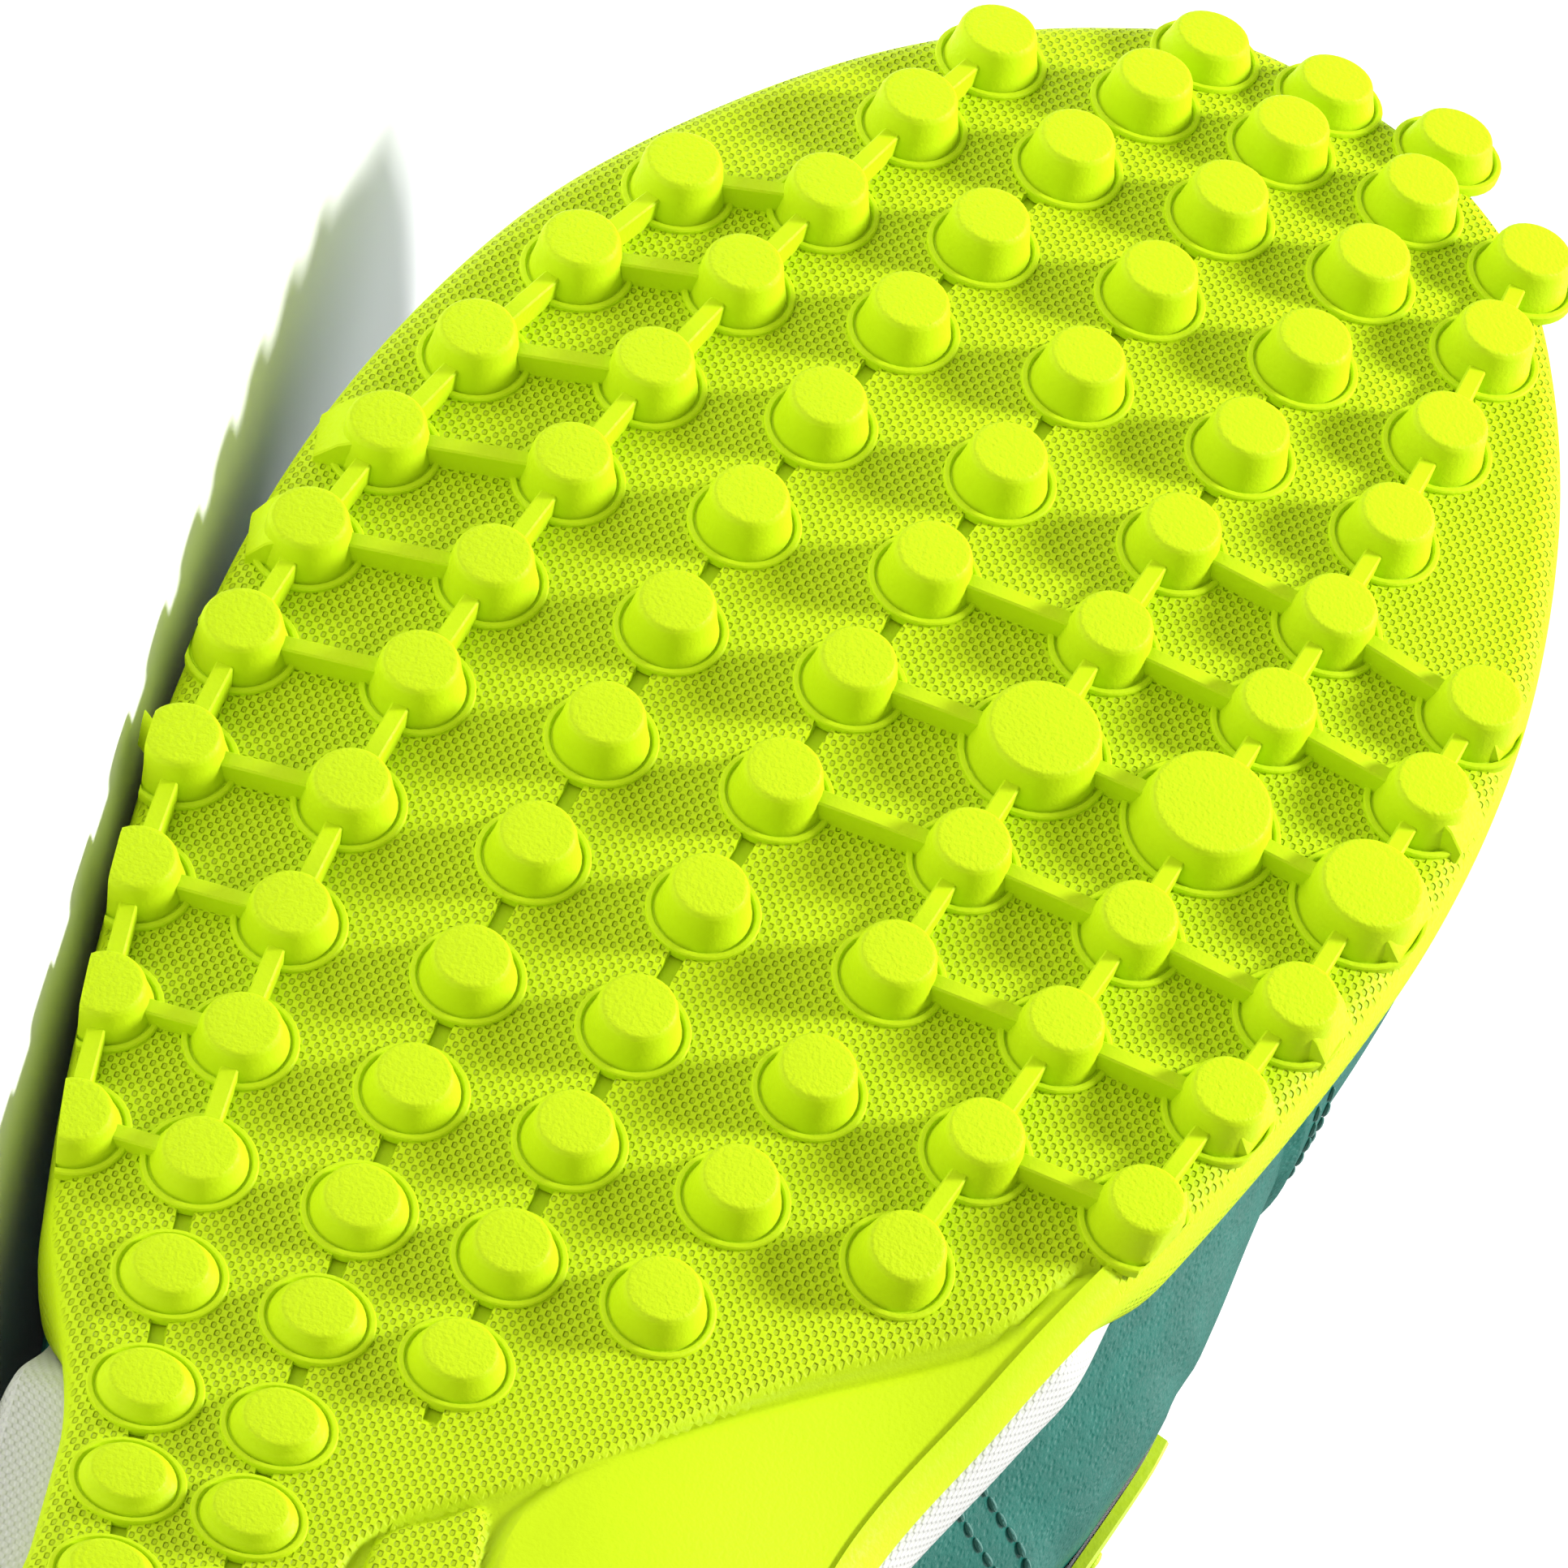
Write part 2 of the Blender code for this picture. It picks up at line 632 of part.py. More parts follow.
def outsole(rays, material):
    """Rubber outsole: plate and wrap, studs and ribs."""
    base = outsole_base(rays, material)
    studs = stud_list()
    places = {(s[0], s[1]): s for s in studs}
    studs_mesh = bmesh.new()
    for stud in studs:
        add_stud(studs_mesh, stud)
    ribs = {0: bmesh.new(), 1: bmesh.new(), 2: bmesh.new()}
    for one, two in rib_pairs():
        height = min(RIB_HEIGHT, RIB_SHARE * min(places[one][3], places[two][3]))
        group = 2 if one[1] == two[1] else one[1] % 2
        start, end = places[one][2], places[two][2]
        mean_top = 0.5 * (places[one][4] + places[two][4])
        shrink = (end - start) / np.linalg.norm(end - start) * RIB_START * mean_top
        add_bar(ribs[group], start + shrink, end - shrink, height)
    unite(base, cutter_object("guide_studs", studs_mesh))
    for group, bm in ribs.items():
        unite(base, cutter_object(f"guide_ribs_{group}", bm))
    return base


def midsole(rays, material):
    """Foam midsole: sits in the rubber's wrap and comes out over it at the waist and heel."""
    cut = lambda ray: float(waist_cut(ray[1]))
    low_inset = lambda ray: cut(ray) + RIM_LEAN + RIM_WALL + GAP
    high_inset = lambda ray: (RIM_LEAN + RIM_WALL - GAP) * float(rim_share(ray[1]))
    shelf = lambda ray: rim_top(ray) + GAP
    top_edge = lambda ray: float(bed(ray[1][1]))
    bevel = lambda ray: MIDSOLE_BEVEL * (1 - float(rim_share(ray[1])))
    under = lambda x, y: ground(x, y) + PLATE + ARCH_GAP
    rings = flat_rings(rays, (0.0, 0.5, 1.0), low_inset, under)
    rings.append(side_ring(rays, low_inset, shelf))
    rings.append(side_ring(rays, high_inset, shelf))
    rings.append(side_ring(rays, lambda r: high_inset(r) - MIDSOLE_BELLY * (bevel(r) > 0),
                           lambda r: 0.5 * (shelf(r) + top_edge(r))))
    rings.append(side_ring(rays, high_inset, lambda r: top_edge(r) - bevel(r) - 0.1 * GAP))
    rings += flat_rings(rays, (1.0, 0.5, 0.0),
                        lambda r: high_inset(r) + 0.5 * bevel(r) + 0.5 * GAP,
                        lambda x, y: bed(y))
    return build_mesh("midsole", rings, material)


def insole(rays, material):
    """Insole on the foot bed, inside the upper."""
    edge = lambda ray: FEATHER_INSET + WALL + 2 * GAP
    soft = lambda ray: edge(ray) + INSOLE_ROUND
    rings = flat_rings(rays, (0.0, 0.5, 1.0), edge, lambda x, y: bed(y) + GAP)
    rings += flat_rings(rays, (1.0, 0.5, 0.0), soft, lambda x, y: bed(y) + GAP + INSOLE_THICKNESS)
    return build_mesh("insole", rings, material)


def upper_value(along, column):
    """Value of an upper column; heights are given over the bed."""
    if column == "height":
        return table_curve(UPPER, lambda row: row[1] * row[2], along)
    index = {"half": 3, "inner": 4, "outer": 5, "turn": 6, "stand": 7}[column]
    return table_curve(UPPER, lambda row: row[index], along)


def top_point(ray, heel_fan):
    """Top end of a rib: collar edge, throat edge or crest."""
    y = ray[0][1]
    along = y / LENGTH
    if heel_fan:
        side = upper_value(along, "half") * BALL_WIDTH
        back = y - HEEL_TOP_BACK * LENGTH
        reach = 1 / math.hypot(ray[2][0] / side, ray[2][1] / back)
        spot = ray[0] + reach * ray[2]
        behind = min(max((y - spot[1]) / y, 0.0), 1.0)
        lift = upper_value(along * (1 - behind), "height")
        return np.array([spot[0], spot[1], float(bed(y)) + float(lift)])
    gap = 0.0 if along >= VAMP_POINT else float(upper_value(along, "half")) * BALL_WIDTH
    height = float(bed(y)) + float(upper_value(along, "height"))
    return np.array([ray[0][0] + gap * ray[2][0], y, height])


def rib_curve(ray, heel_fan):
    """Four control points of the rib that rises from the feather line to the top."""
    foot = ray_point(ray, FEATHER_INSET)
    foot = np.array([foot[0], foot[1], float(bed(ray[1][1])) + GAP])
    top = top_point(ray, heel_fan)
    along = ray[0][1] / LENGTH
    outward = np.array([ray[2][0], ray[2][1], 0.0])
    side = "outer" if ray[2][0] > 0 else "inner"
    belly = float(upper_value(along, side)) * BALL_WIDTH
    rise = top[2] - foot[2]
    width = float(np.linalg.norm((foot - top)[:2]))
    turn = float(upper_value(along, "turn"))
    stand = float(upper_value(along, "stand"))
    low = foot + outward * belly + np.array([0, 0, 0.45 * rise])
    high = top + outward * (turn * width + 0.5 * belly) - np.array([0, 0, stand * rise])
    return foot, low, high, top


def on_rib(control, v):
    """Point on a rib at share v from the feather line."""
    a, b, c, d = control
    w = 1 - v
    return w ** 3 * a + 3 * w * w * v * b + 3 * w * v * v * c + v ** 3 * d


OUTER_LEVELS = (0.0, 0.10, 0.24, 0.36, 0.38, 0.52, 0.68, 0.80, 0.82, 0.92, 1.0)
INNER_LEVELS = (1.0, 0.92, 0.80, 0.60, 0.36, 0.15, 0.0)
OVERLAY_LEVEL = 0.37
STAY_LEVEL = 0.81


def overlay_share(ray, v):
    """1 on the toe cap, the heel counter and the eyestay, 0 between them."""
    along = ray[1][1] / LENGTH
    low = v < OVERLAY_LEVEL
    cap = low and along > TOE_CAP_END + 0.5 * STEP_RUN / LENGTH
    counter = low and along < COUNTER_END + 0.5 * STEP_RUN / LENGTH
    throat = COLLAR_FRONT - STAY_MARGIN < along < VAMP_POINT + STAY_MARGIN
    stay = throat and v > STAY_LEVEL
    return 1.0 if cap or counter or stay else 0.0


def wall_at(ray, v):
    """Thickness of the upper's wall, padded at the collar."""
    along = ray[0][1] / LENGTH
    pad = (1 - float(ease(*PAD_ALONG, along))) * float(ease(*PAD_LEVELS, v))
    return WALL + COLLAR_PAD * pad


def upper_surface(rays, kept, levels):
    """Grid of points and outward normals on the upper's base surface."""
    heel_from = 2 * kept + TOE_RAY_COUNT - 1
    controls = [rib_curve(ray, k >= heel_from) for k, ray in enumerate(rays)]
    grid = np.array([[on_rib(c, v) for c in controls] for v in levels])
    around = np.roll(grid, -1, axis=1) - np.roll(grid, 1, axis=1)
    up = np.array([[on_rib(c, min(v + 0.02, 1.0)) - on_rib(c, max(v - 0.02, 0.0))
                    for c in controls] for v in levels])
    normals = np.cross(around, up)
    for level, v in enumerate(levels):
        if v == 1.0:
            merge_crest_normals(grid[level], normals[level])
    sizes = np.linalg.norm(normals, axis=2, keepdims=True)
    normals = normals / np.maximum(sizes, 1e-12)
    middle = np.array([ray[0] for ray in rays])
    outward = grid[:, :, :2] - middle[None]
    flip = (normals[:, :, 0] * outward[:, :, 0] + normals[:, :, 1] * outward[:, :, 1]
            + normals[:, :, 2] * 0.02) < 0
    normals[flip] *= -1
    return grid, normals


def merge_crest_normals(points, normals):
    """Points that meet on the crest share one upward normal."""
    for k, point in enumerate(points):
        near = np.linalg.norm(points - point, axis=1) < SAME_PLACE
        if near.sum() > 1:
            slope = (normals[near] * np.sign(normals[near][:, 2:3])).sum(axis=0)
            slope[0] = 0.0
            size = np.linalg.norm(slope)
            normals[k] = slope / size if size > 1e-12 else (0.0, 0.0, 1.0)


def upper(rays, kept, material):
    """Hollow upper: open at the collar, the throat and underneath."""
    outer, outer_normals = upper_surface(rays, kept, OUTER_LEVELS)
    inner, inner_normals = upper_surface(rays, kept, INNER_LEVELS)
    rings = []
    for level, v in enumerate(OUTER_LEVELS):
        step = np.array([[OVERLAY_STEP * overlay_share(ray, v)] for ray in rays])
        rings.append([tuple(p) for p in outer[level] + outer_normals[level] * step])
    for level, v in enumerate(INNER_LEVELS):
        wall = np.array([[wall_at(ray, v)] for ray in rays])
        rings.append([tuple(p) for p in inner[level] - inner_normals[level] * wall])
    for ring in (rings[0], rings[-1]):
        for k, ray in enumerate(rays):
            floor = float(bed(ray[1][1])) + GAP
            ring[k] = (ring[k][0], ring[k][1], floor)
    ends = np.array(rings[len(OUTER_LEVELS) - 1])
    return upper_mesh(rings, [is_open(ends, k) for k in range(len(ends))], material)


def is_open(ends, k):
    """True where a rib ends at the collar or throat and not on the crest."""
    return (np.linalg.norm(ends - ends[k], axis=1) < SAME_PLACE).sum() == 1


def upper_mesh(rings, opened, material):
    """Closed wall: outer skin, rim of the collar and throat, inner skin and rim on the foam."""
    bm = bmesh.new()
    made = [[bm.verts.new(p) for p in ring] for ring in rings]
    for level, (low, high) in enumerate(zip(made, made[1:])):
        over_rim = level == len(OUTER_LEVELS) - 1
        join_rings(bm, low, high, opened if over_rim else None)
    join_rings(bm, made[-1], made[0])
    bmesh.ops.remove_doubles(bm, verts=bm.verts, dist=SAME_PLACE)
    bmesh.ops.recalc_face_normals(bm, faces=bm.faces)
    return finish_mesh("upper", bm, material)


def cross_ray(y, side):
    """Ray straight across at a place along, to the outer side (0) or the inner side (1)."""
    centre = np.array([float(axis_x(y)), y])
    edge = np.array([float(edge_at(y)[side]), y])
    return centre, edge, (edge - centre) / np.linalg.norm(edge - centre)


def upper_point(y, side, v, offset):
    """Point beside the upper's base surface, on a rib straight across, and its outward normal."""
    control = rib_curve(cross_ray(y, side), False)
    before = on_rib(rib_curve(cross_ray(y - SLOPE_STEP, side), False), v)
    after = on_rib(rib_curve(cross_ray(y + SLOPE_STEP, side), False), v)
    up = on_rib(control, min(v + 0.01, 1.0)) - on_rib(control, max(v - 0.01, 0.0))
    normal = np.cross(after - before, up) * (1 if side == 0 else -1)
    normal = normal / np.linalg.norm(normal)
    return on_rib(control, v) + offset * normal, normal


def level_below_edge(y, side, distance):
    """Share up a rib of the point that lies this far below its top end."""
    control = rib_curve(cross_ray(y, side), False)
    shares = np.linspace(1.0, 0.5, 26)
    points = np.array([on_rib(control, v) for v in shares])
    run = np.concatenate([[0.0], np.cumsum(np.linalg.norm(np.diff(points, axis=0), axis=1))])
    return float(np.interp(distance, run, shares))


def loft(bm, sections):
    """Closed solid through closed sections that all have the same count of points."""
    made = [[bm.verts.new(p) for p in section] for section in sections]
    for low, high in zip(made, made[1:]):
        join_rings(bm, low, high)
    bm.faces.new(made[0][::-1])
    bm.faces.new(made[-1])


def tongue_section(y, margin):
    """Closed section of the tongue under the eyestay, reaching margin past the throat's edges."""
    depth = WALL + TONGUE_GAP
    top = []
    for side, reaches in ((0, (margin, 0.5 * margin)), (1, (0.5 * margin, margin))):
        for reach in reaches:
            v = level_below_edge(y, side, reach)
            top.append(upper_point(y, side, v, -depth))
    edge_height = on_rib(rib_curve(cross_ray(y, 0), False), 1.0)[2]
    middle = np.array([float(axis_x(y)), y, edge_height - TONGUE_DROP * depth])
    points = [top[0][0], top[1][0], middle, top[2][0], top[3][0]]
    normals = [top[0][1], top[1][1], np.array([0.0, 0.0, 1.0]), top[2][1], top[3][1]]
    thick = [0.35, 0.8, 1.0, 0.8, 0.35]
    low = [p - n * TONGUE_THICKNESS * t for p, n, t in zip(points, normals, thick)]
    return points + low[::-1]


def tongue(material):
    """Padded tongue: under the eyestay, then free above the top eyelets."""
    bm = bmesh.new()
    sections = []
    for along, share in TONGUE_STATIONS:
        sections.append(tongue_section(along * LENGTH, share * TONGUE_MARGIN))
    last = np.array(sections[-1])
    middle = last[2].copy()
    for back, rise, width in TONGUE_END:
        moved = middle + (last - middle) * np.array([width, 1.0, 1.0])
        moved = moved + np.array([0.0, -back * TONGUE_RISE, rise * TONGUE_RISE])
        sections.append([tuple(p) for p in moved])
    loft(bm, sections)
    bmesh.ops.recalc_face_normals(bm, faces=bm.faces)
    return finish_mesh("tongue", bm, material)


def side_panel(material):
    """Lime panel on the inner quarter: a sheet that lies on the upper."""
    bm = bmesh.new()
    sections = []
    for along in np.linspace(PANEL[0][0], PANEL[-1][0], PANEL_SECTIONS):
        low = float(table_curve(PANEL, lambda row: row[1], along))
        high = float(table_curve(PANEL, lambda row: row[2], along))
        shares = np.linspace(low, high, PANEL_POINTS)
        inside = [upper_point(along * LENGTH, 1, v, PANEL_GAP)[0] for v in shares]
        outside = [upper_point(along * LENGTH, 1, v, PANEL_GAP + PANEL_THICKNESS)[0]
                   for v in shares]
        sections.append(inside + outside[::-1])
    loft(bm, sections)
    bmesh.ops.recalc_face_normals(bm, faces=bm.faces)
    return finish_mesh("side_panel", bm, material)


def eyelet_place(k):
    """Place along of a pair of eyelets, the lowest first."""
    first, last = LOW_EYELET * LENGTH, TOP_EYELET * LENGTH
    return first + (last - first) * k / (LACE_ROWS - 1)


def add_strap(bm, start, end, side, lift):
    """Flat run of lace over the throat, from an eyelet of one side to one of the other."""
    reaches = [share * EYELET_INSET for share in LACE_REACHES]
    offset = OVERLAY_STEP + LACE_LIFT + (0.5 + lift) * LACE_THICKNESS
    points = []
    for share, reach in zip(LACE_SHARES, reaches):
        y = start + (end - start) * share
        points.append(upper_point(y, side, level_below_edge(y, side, reach), offset)[0])
    y = 0.5 * (start + end)
    edge_height = on_rib(rib_curve(cross_ray(y, side), False), 1.0)[2]
    points.append(np.array([float(axis_x(y)), y, edge_height + offset + LACE_ARCH]))
    for share, reach in zip(LACE_SHARES[::-1], reaches[::-1]):
        y = end - (end - start) * share
        points.append(upper_point(y, 1 - side, level_below_edge(y, 1 - side, reach), offset)[0])
    points = np.array(points)
    slope = throat_slope(start)
    across = np.cross(points[-1] - points[0], np.array([0.0, -slope, 1.0]))
    across = across / np.linalg.norm(across) * LACE_WIDTH / 2
    sections = []
    for point, run in zip(points, np.gradient(points, axis=0)):
        up = np.cross(across, run)
        up = up / np.linalg.norm(up) * LACE_THICKNESS / 2
        sections.append([point - across - up, point + across - up,
                         point + across + up, point - across + up])
    loft(bm, sections)


def throat_slope(y):
    """Slope of the throat's edge towards the toe."""
    places = (y - THROAT_STEP, y)
    edges = [on_rib(rib_curve(cross_ray(place, 0), False), 1.0)[2] for place in places]
    return (edges[1] - edges[0]) / THROAT_STEP


def laces(material):
    """Lace from the lowest to the top eyelets: crossed runs, joined where they cross."""
    one = bmesh.new()
    other = bmesh.new()
    for k in range(LACE_ROWS - 1):
        add_strap(one, eyelet_place(k), eyelet_place(k + 1), 0, 0.0)
        add_strap(other, eyelet_place(k), eyelet_place(k + 1), 1, LACE_OVERLAP)
    bar = bmesh.new()
    add_strap(bar, eyelet_place(0), eyelet_place(0), 0, 0.5 * LACE_OVERLAP)
    bmesh.ops.recalc_face_normals(one, faces=one.faces)
    lace = finish_mesh("laces", one, material)
    unite(lace, cutter_object("guide_lace_crossings", other), "MANIFOLD")
    unite(lace, cutter_object("guide_lace_bar", bar), "MANIFOLD")
    return lace


def remove_scene_objects():
    """Empties the scene."""
    for obj in list(bpy.data.objects):
        bpy.data.objects.remove(obj)


def solid_points(obj):
    """Corners of an object's triangles, as the viewport evaluates it, in the wearing frame."""
    evaluated = obj.evaluated_get(bpy.context.evaluated_depsgraph_get())
    mesh = evaluated.to_mesh()
    mesh.calc_loop_triangles()
    points = np.empty(len(mesh.vertices) * 3)
    mesh.vertices.foreach_get("co", points)
    corners = np.empty(len(mesh.loop_triangles) * 3, dtype=int)
    mesh.loop_triangles.foreach_get("vertices", corners)
    evaluated.to_mesh_clear()
    return points.reshape(-1, 3)[corners].reshape(-1, 3, 3)


def balance(solids):
    """Centre of mass of the whole shoe, from each solid's triangles and density."""
    total = 0.0
    moment = np.zeros(3)
    for triangles, density in solids:
        volumes = np.einsum("ij,ij->i", triangles[:, 0],
                            np.cross(triangles[:, 1], triangles[:, 2])) / 6
        total += density * volumes.sum()
        moment += density * (volumes[:, None] * triangles.sum(axis=1) / 4).sum(axis=0)
    return moment / total


def face_below(points, centre):
    """Outward normal of the hull's face that lies straight under the centre of mass."""
    bm = bmesh.new()
    for point in points:
        bm.verts.new(point)
    bmesh.ops.convex_hull(bm, input=bm.verts)
    bmesh.ops.delete(bm, geom=[v for v in bm.verts if not v.link_faces], context="VERTS")
    spot = Vector((centre[0], centre[1]))
    found = None
    for face in bm.faces:
        a, b, c = [v.co.xy for v in face.verts][:3]
        if face.normal.z < 0 and intersect_point_tri_2d(spot, a, b, c):
            found = face.normal.copy()
    bm.free()
    return found


def lying_turn(points, centre):
    """Rotation that lays the shoe on its outer side, at rest on three points of its hull."""
    turn = Matrix.Rotation(math.pi / 2, 3, "Y")
    for _ in range(LYING_ROUNDS):
        turned = points @ np.array(turn).T
        normal = face_below(turned, np.array(turn) @ centre)
        turn = normal.rotation_difference(Vector((0, 0, -1))).to_matrix() @ turn
    toe = turn @ Vector((0, 1, 0))
    return Matrix.Rotation(math.atan2(toe.x, toe.y), 3, "Z") @ turn


def lay_on_side(parts):
    """Parents every object to an empty that lays the shoe on the floor, round the origin."""
    densities = {
        "outsole": RUBBER_DENSITY, "midsole": FOAM_DENSITY, "upper": LEATHER_DENSITY,
        "side_panel": RUBBER_DENSITY,
    }
    solids = [(solid_points(part), densities.get(part.name, CLOTH_DENSITY)) for part in parts]
    points = np.unique(np.concatenate([s[0].reshape(-1, 3) for s in solids]), axis=0)
    turn = lying_turn(points, balance(solids))
    turned = points @ np.array(turn).T
    low, high = turned.min(axis=0), turned.max(axis=0)
    shoe = bpy.data.objects.new("shoe", None)
    bpy.context.scene.collection.objects.link(shoe)
    shoe.rotation_mode = "QUATERNION"
    shoe.rotation_quaternion = turn.to_quaternion()
    shoe.location = (-(low[0] + high[0]) / 2, -(low[1] + high[1]) / 2, -low[2])
    for obj in bpy.context.scene.objects:
        if obj is not shoe:
            obj.parent = shoe


def main():
    """Builds the shoe and lays it on its outer side."""
    remove_scene_objects()
    rays, kept = make_rays()
    rubber = plain_material("lime_rubber", (0.52, 0.84, 0.02), 0.55)
    foam = plain_material("white_foam", (0.82, 0.81, 0.77), 0.65)
    leather = plain_material("teal_leather", (0.04, 0.29, 0.23), 0.42)
    cloth = plain_material("grey_lining", (0.12, 0.14, 0.14), 0.85)
    parts = [
        outsole(rays, rubber),
        midsole(rays, foam),
        insole(rays, cloth),
        upper(rays, kept, leather),
        side_panel(plain_material("lime_panel", (0.52, 0.84, 0.02), 0.45)),
        tongue(plain_material("teal_mesh", (0.03, 0.22, 0.18), 0.75)),
        laces(plain_material("lime_lace", (0.50, 0.80, 0.04), 0.80)),
    ]
    bpy.context.view_layer.update()
    lay_on_side(parts)


if __name__ == "__main__":
    main()
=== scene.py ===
"""Looks of the right field hockey shoe that lies on its outer side.

Run as a script, it registers a small add-on, makes every piece with its operators and finishes
the frame. Shapes are worked out in the wearing frame (+X outer side, +Y toe, +Z up, metres) and
then laid down by the same turn and place as the solids.
"""

import math

import bmesh
import bpy
import numpy as np
from mathutils import Matrix, Vector


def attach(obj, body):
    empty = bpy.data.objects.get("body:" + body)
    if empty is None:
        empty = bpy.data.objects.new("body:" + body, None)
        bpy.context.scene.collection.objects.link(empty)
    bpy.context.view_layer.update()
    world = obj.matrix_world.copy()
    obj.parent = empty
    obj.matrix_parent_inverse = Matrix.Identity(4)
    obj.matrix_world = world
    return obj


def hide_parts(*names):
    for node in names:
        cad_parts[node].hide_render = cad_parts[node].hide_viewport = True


bl_info = {
    "name": "Hockey Shoe Looks",
    "version": (1, 0, 0),
    "blender": (4, 5, 0),
    "location": "3D View > Sidebar > Shoe",
    "description": "Makes the dressed pieces of a field hockey shoe",
    "category": "Object",
}

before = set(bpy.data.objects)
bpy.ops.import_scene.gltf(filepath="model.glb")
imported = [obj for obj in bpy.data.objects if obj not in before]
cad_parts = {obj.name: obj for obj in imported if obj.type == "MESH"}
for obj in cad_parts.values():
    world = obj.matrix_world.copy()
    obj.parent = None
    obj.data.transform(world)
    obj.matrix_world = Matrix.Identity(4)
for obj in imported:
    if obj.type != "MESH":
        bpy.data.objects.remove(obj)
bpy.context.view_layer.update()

MM = 0.001

# Sizes of the shoe, as in the solids
LENGTH = 285 * MM
BALL_WIDTH = 104 * MM
HEEL_WIDTH = 71 * MM
TOE_ROCKER = 430 * MM
HEEL_ROCKER = 320 * MM
CROWN_RADIUS = 365 * MM
ARCH_LIFT = 5.5 * MM
WAIST_CUT = 5.0 * MM
PLATE = 2.6 * MM
EDGE_ROUND = 2.4 * MM
RIM_WALL = 2.2 * MM
RIM_LEAN = 0.8 * MM
RIM_LIP = 0.6 * MM
RIM_BULGE = 0.5 * MM
RIM_BEVEL = 0.35 * MM
STUD_HEIGHT = 4.1 * MM
STUD_TOP = 3.15 * MM
STUD_FOOT = 4.0 * MM
BIG_TOP = 5.0 * MM
BIG_FOOT = 6.0 * MM
RIB_WIDTH = 1.5 * MM
RIB_HEIGHT = 2.2 * MM
HEEL_STACK = 22 * MM
BALL_STACK = 12.5 * MM
TOE_STACK = 11 * MM
COLLAR_HEIGHT = 64 * MM
INSTEP_HEIGHT = 76 * MM
TOE_BOX_HEIGHT = 37 * MM
WALL = 1.8 * MM
COLLAR_PAD = 3.0 * MM
OVERLAY_STEP = 0.8 * MM
FEATHER_INSET = 2.0 * MM
STEP_RUN = 0.7 * MM
INSOLE_THICKNESS = 4.0 * MM
TONGUE_THICKNESS = 4.5 * MM
TONGUE_MARGIN = 8.0 * MM
TONGUE_RISE = 16 * MM
LACE_WIDTH = 7.0 * MM
LACE_THICKNESS = 1.4 * MM
LACE_ARCH = 2.4 * MM
LACE_ROWS = 6
LACE_OVERLAP = 0.4
LACE_LIFT = 1.2 * MM
EYELET_INSET = 8.0 * MM
GAP = 0.3 * MM

# Places along the length, as shares of it
HEEL_CENTRE = 0.125
TOE_CENTRE = 0.83
BALL_LINE = 0.66
HEEL_LINE = 0.12
COLLAR_FRONT = 0.39
VAMP_POINT = 0.665
TOE_CAP_END = 0.565
INNER_CAP_END = 0.645
COUNTER_END = 0.24
LOW_EYELET = 0.640
TOP_EYELET = 0.425
TOE_TIP_INWARD = 0.125

# The turn and place that lay the shoe on its outer side
LEAN = math.radians(101.2335)
TOE_LIFT = math.radians(3.3901)
PLACE = Vector((-48.184, -141.268, 40.207)) * MM
LAID = Matrix.Translation(PLACE) @ Matrix.Rotation(TOE_LIFT, 4, "X") @ Matrix.Rotation(LEAN, 4, "Y")

# Where forms begin and end along the shoe, as shares of its length
ARCH_RANGE = (0.20, 0.36, 0.42, 0.56)
ARCH_EDGE = (0.02, 0.30)
WAIST_RANGE = (0.27, 0.35, 0.38, 0.46)
HEEL_TO_BALL = (0.15, 0.66)
BALL_TO_TOE = (0.70, 1.0)
OUTER_WRAP = (0.400, 0.450)
INNER_WRAP = (0.520, 0.572)

# Points nearer than these are one, and the step that measures a slope
WELD = 0.004 * MM
SAME_PLACE = 0.002 * MM
CREST_NEAR = 0.01 * MM
SLOPE_STEP = 0.5 * MM

# How deep repeated pieces are rooted in the surface that carries them
ROOT = 0.5 * MM

# Sole outline. Columns: along, width that the row follows, reach to the inner and outer side.
OUTLINE = [
    (0.012, HEEL_WIDTH, 0.190, 0.205),
    (0.045, HEEL_WIDTH, 0.372, 0.383),
    (0.105, HEEL_WIDTH, 0.478, 0.487),
    (0.175, HEEL_WIDTH, 0.490, 0.510),
    (0.263, HEEL_WIDTH, 0.425, 0.527),
    (0.340, BALL_WIDTH, 0.253, 0.378),
    (0.430, BALL_WIDTH, 0.265, 0.402),
    (0.500, BALL_WIDTH, 0.330, 0.437),
    (0.570, BALL_WIDTH, 0.405, 0.461),
    (0.640, BALL_WIDTH, 0.467, 0.474),
    (0.710, BALL_WIDTH, 0.510, 0.464),
    (0.780, BALL_WIDTH, 0.523, 0.424),
    (0.850, BALL_WIDTH, 0.503, 0.350),
    (0.910, BALL_WIDTH, 0.458, 0.238),
    (0.955, BALL_WIDTH, 0.395, 0.120),
    (0.986, BALL_WIDTH, 0.285, -0.010),
]

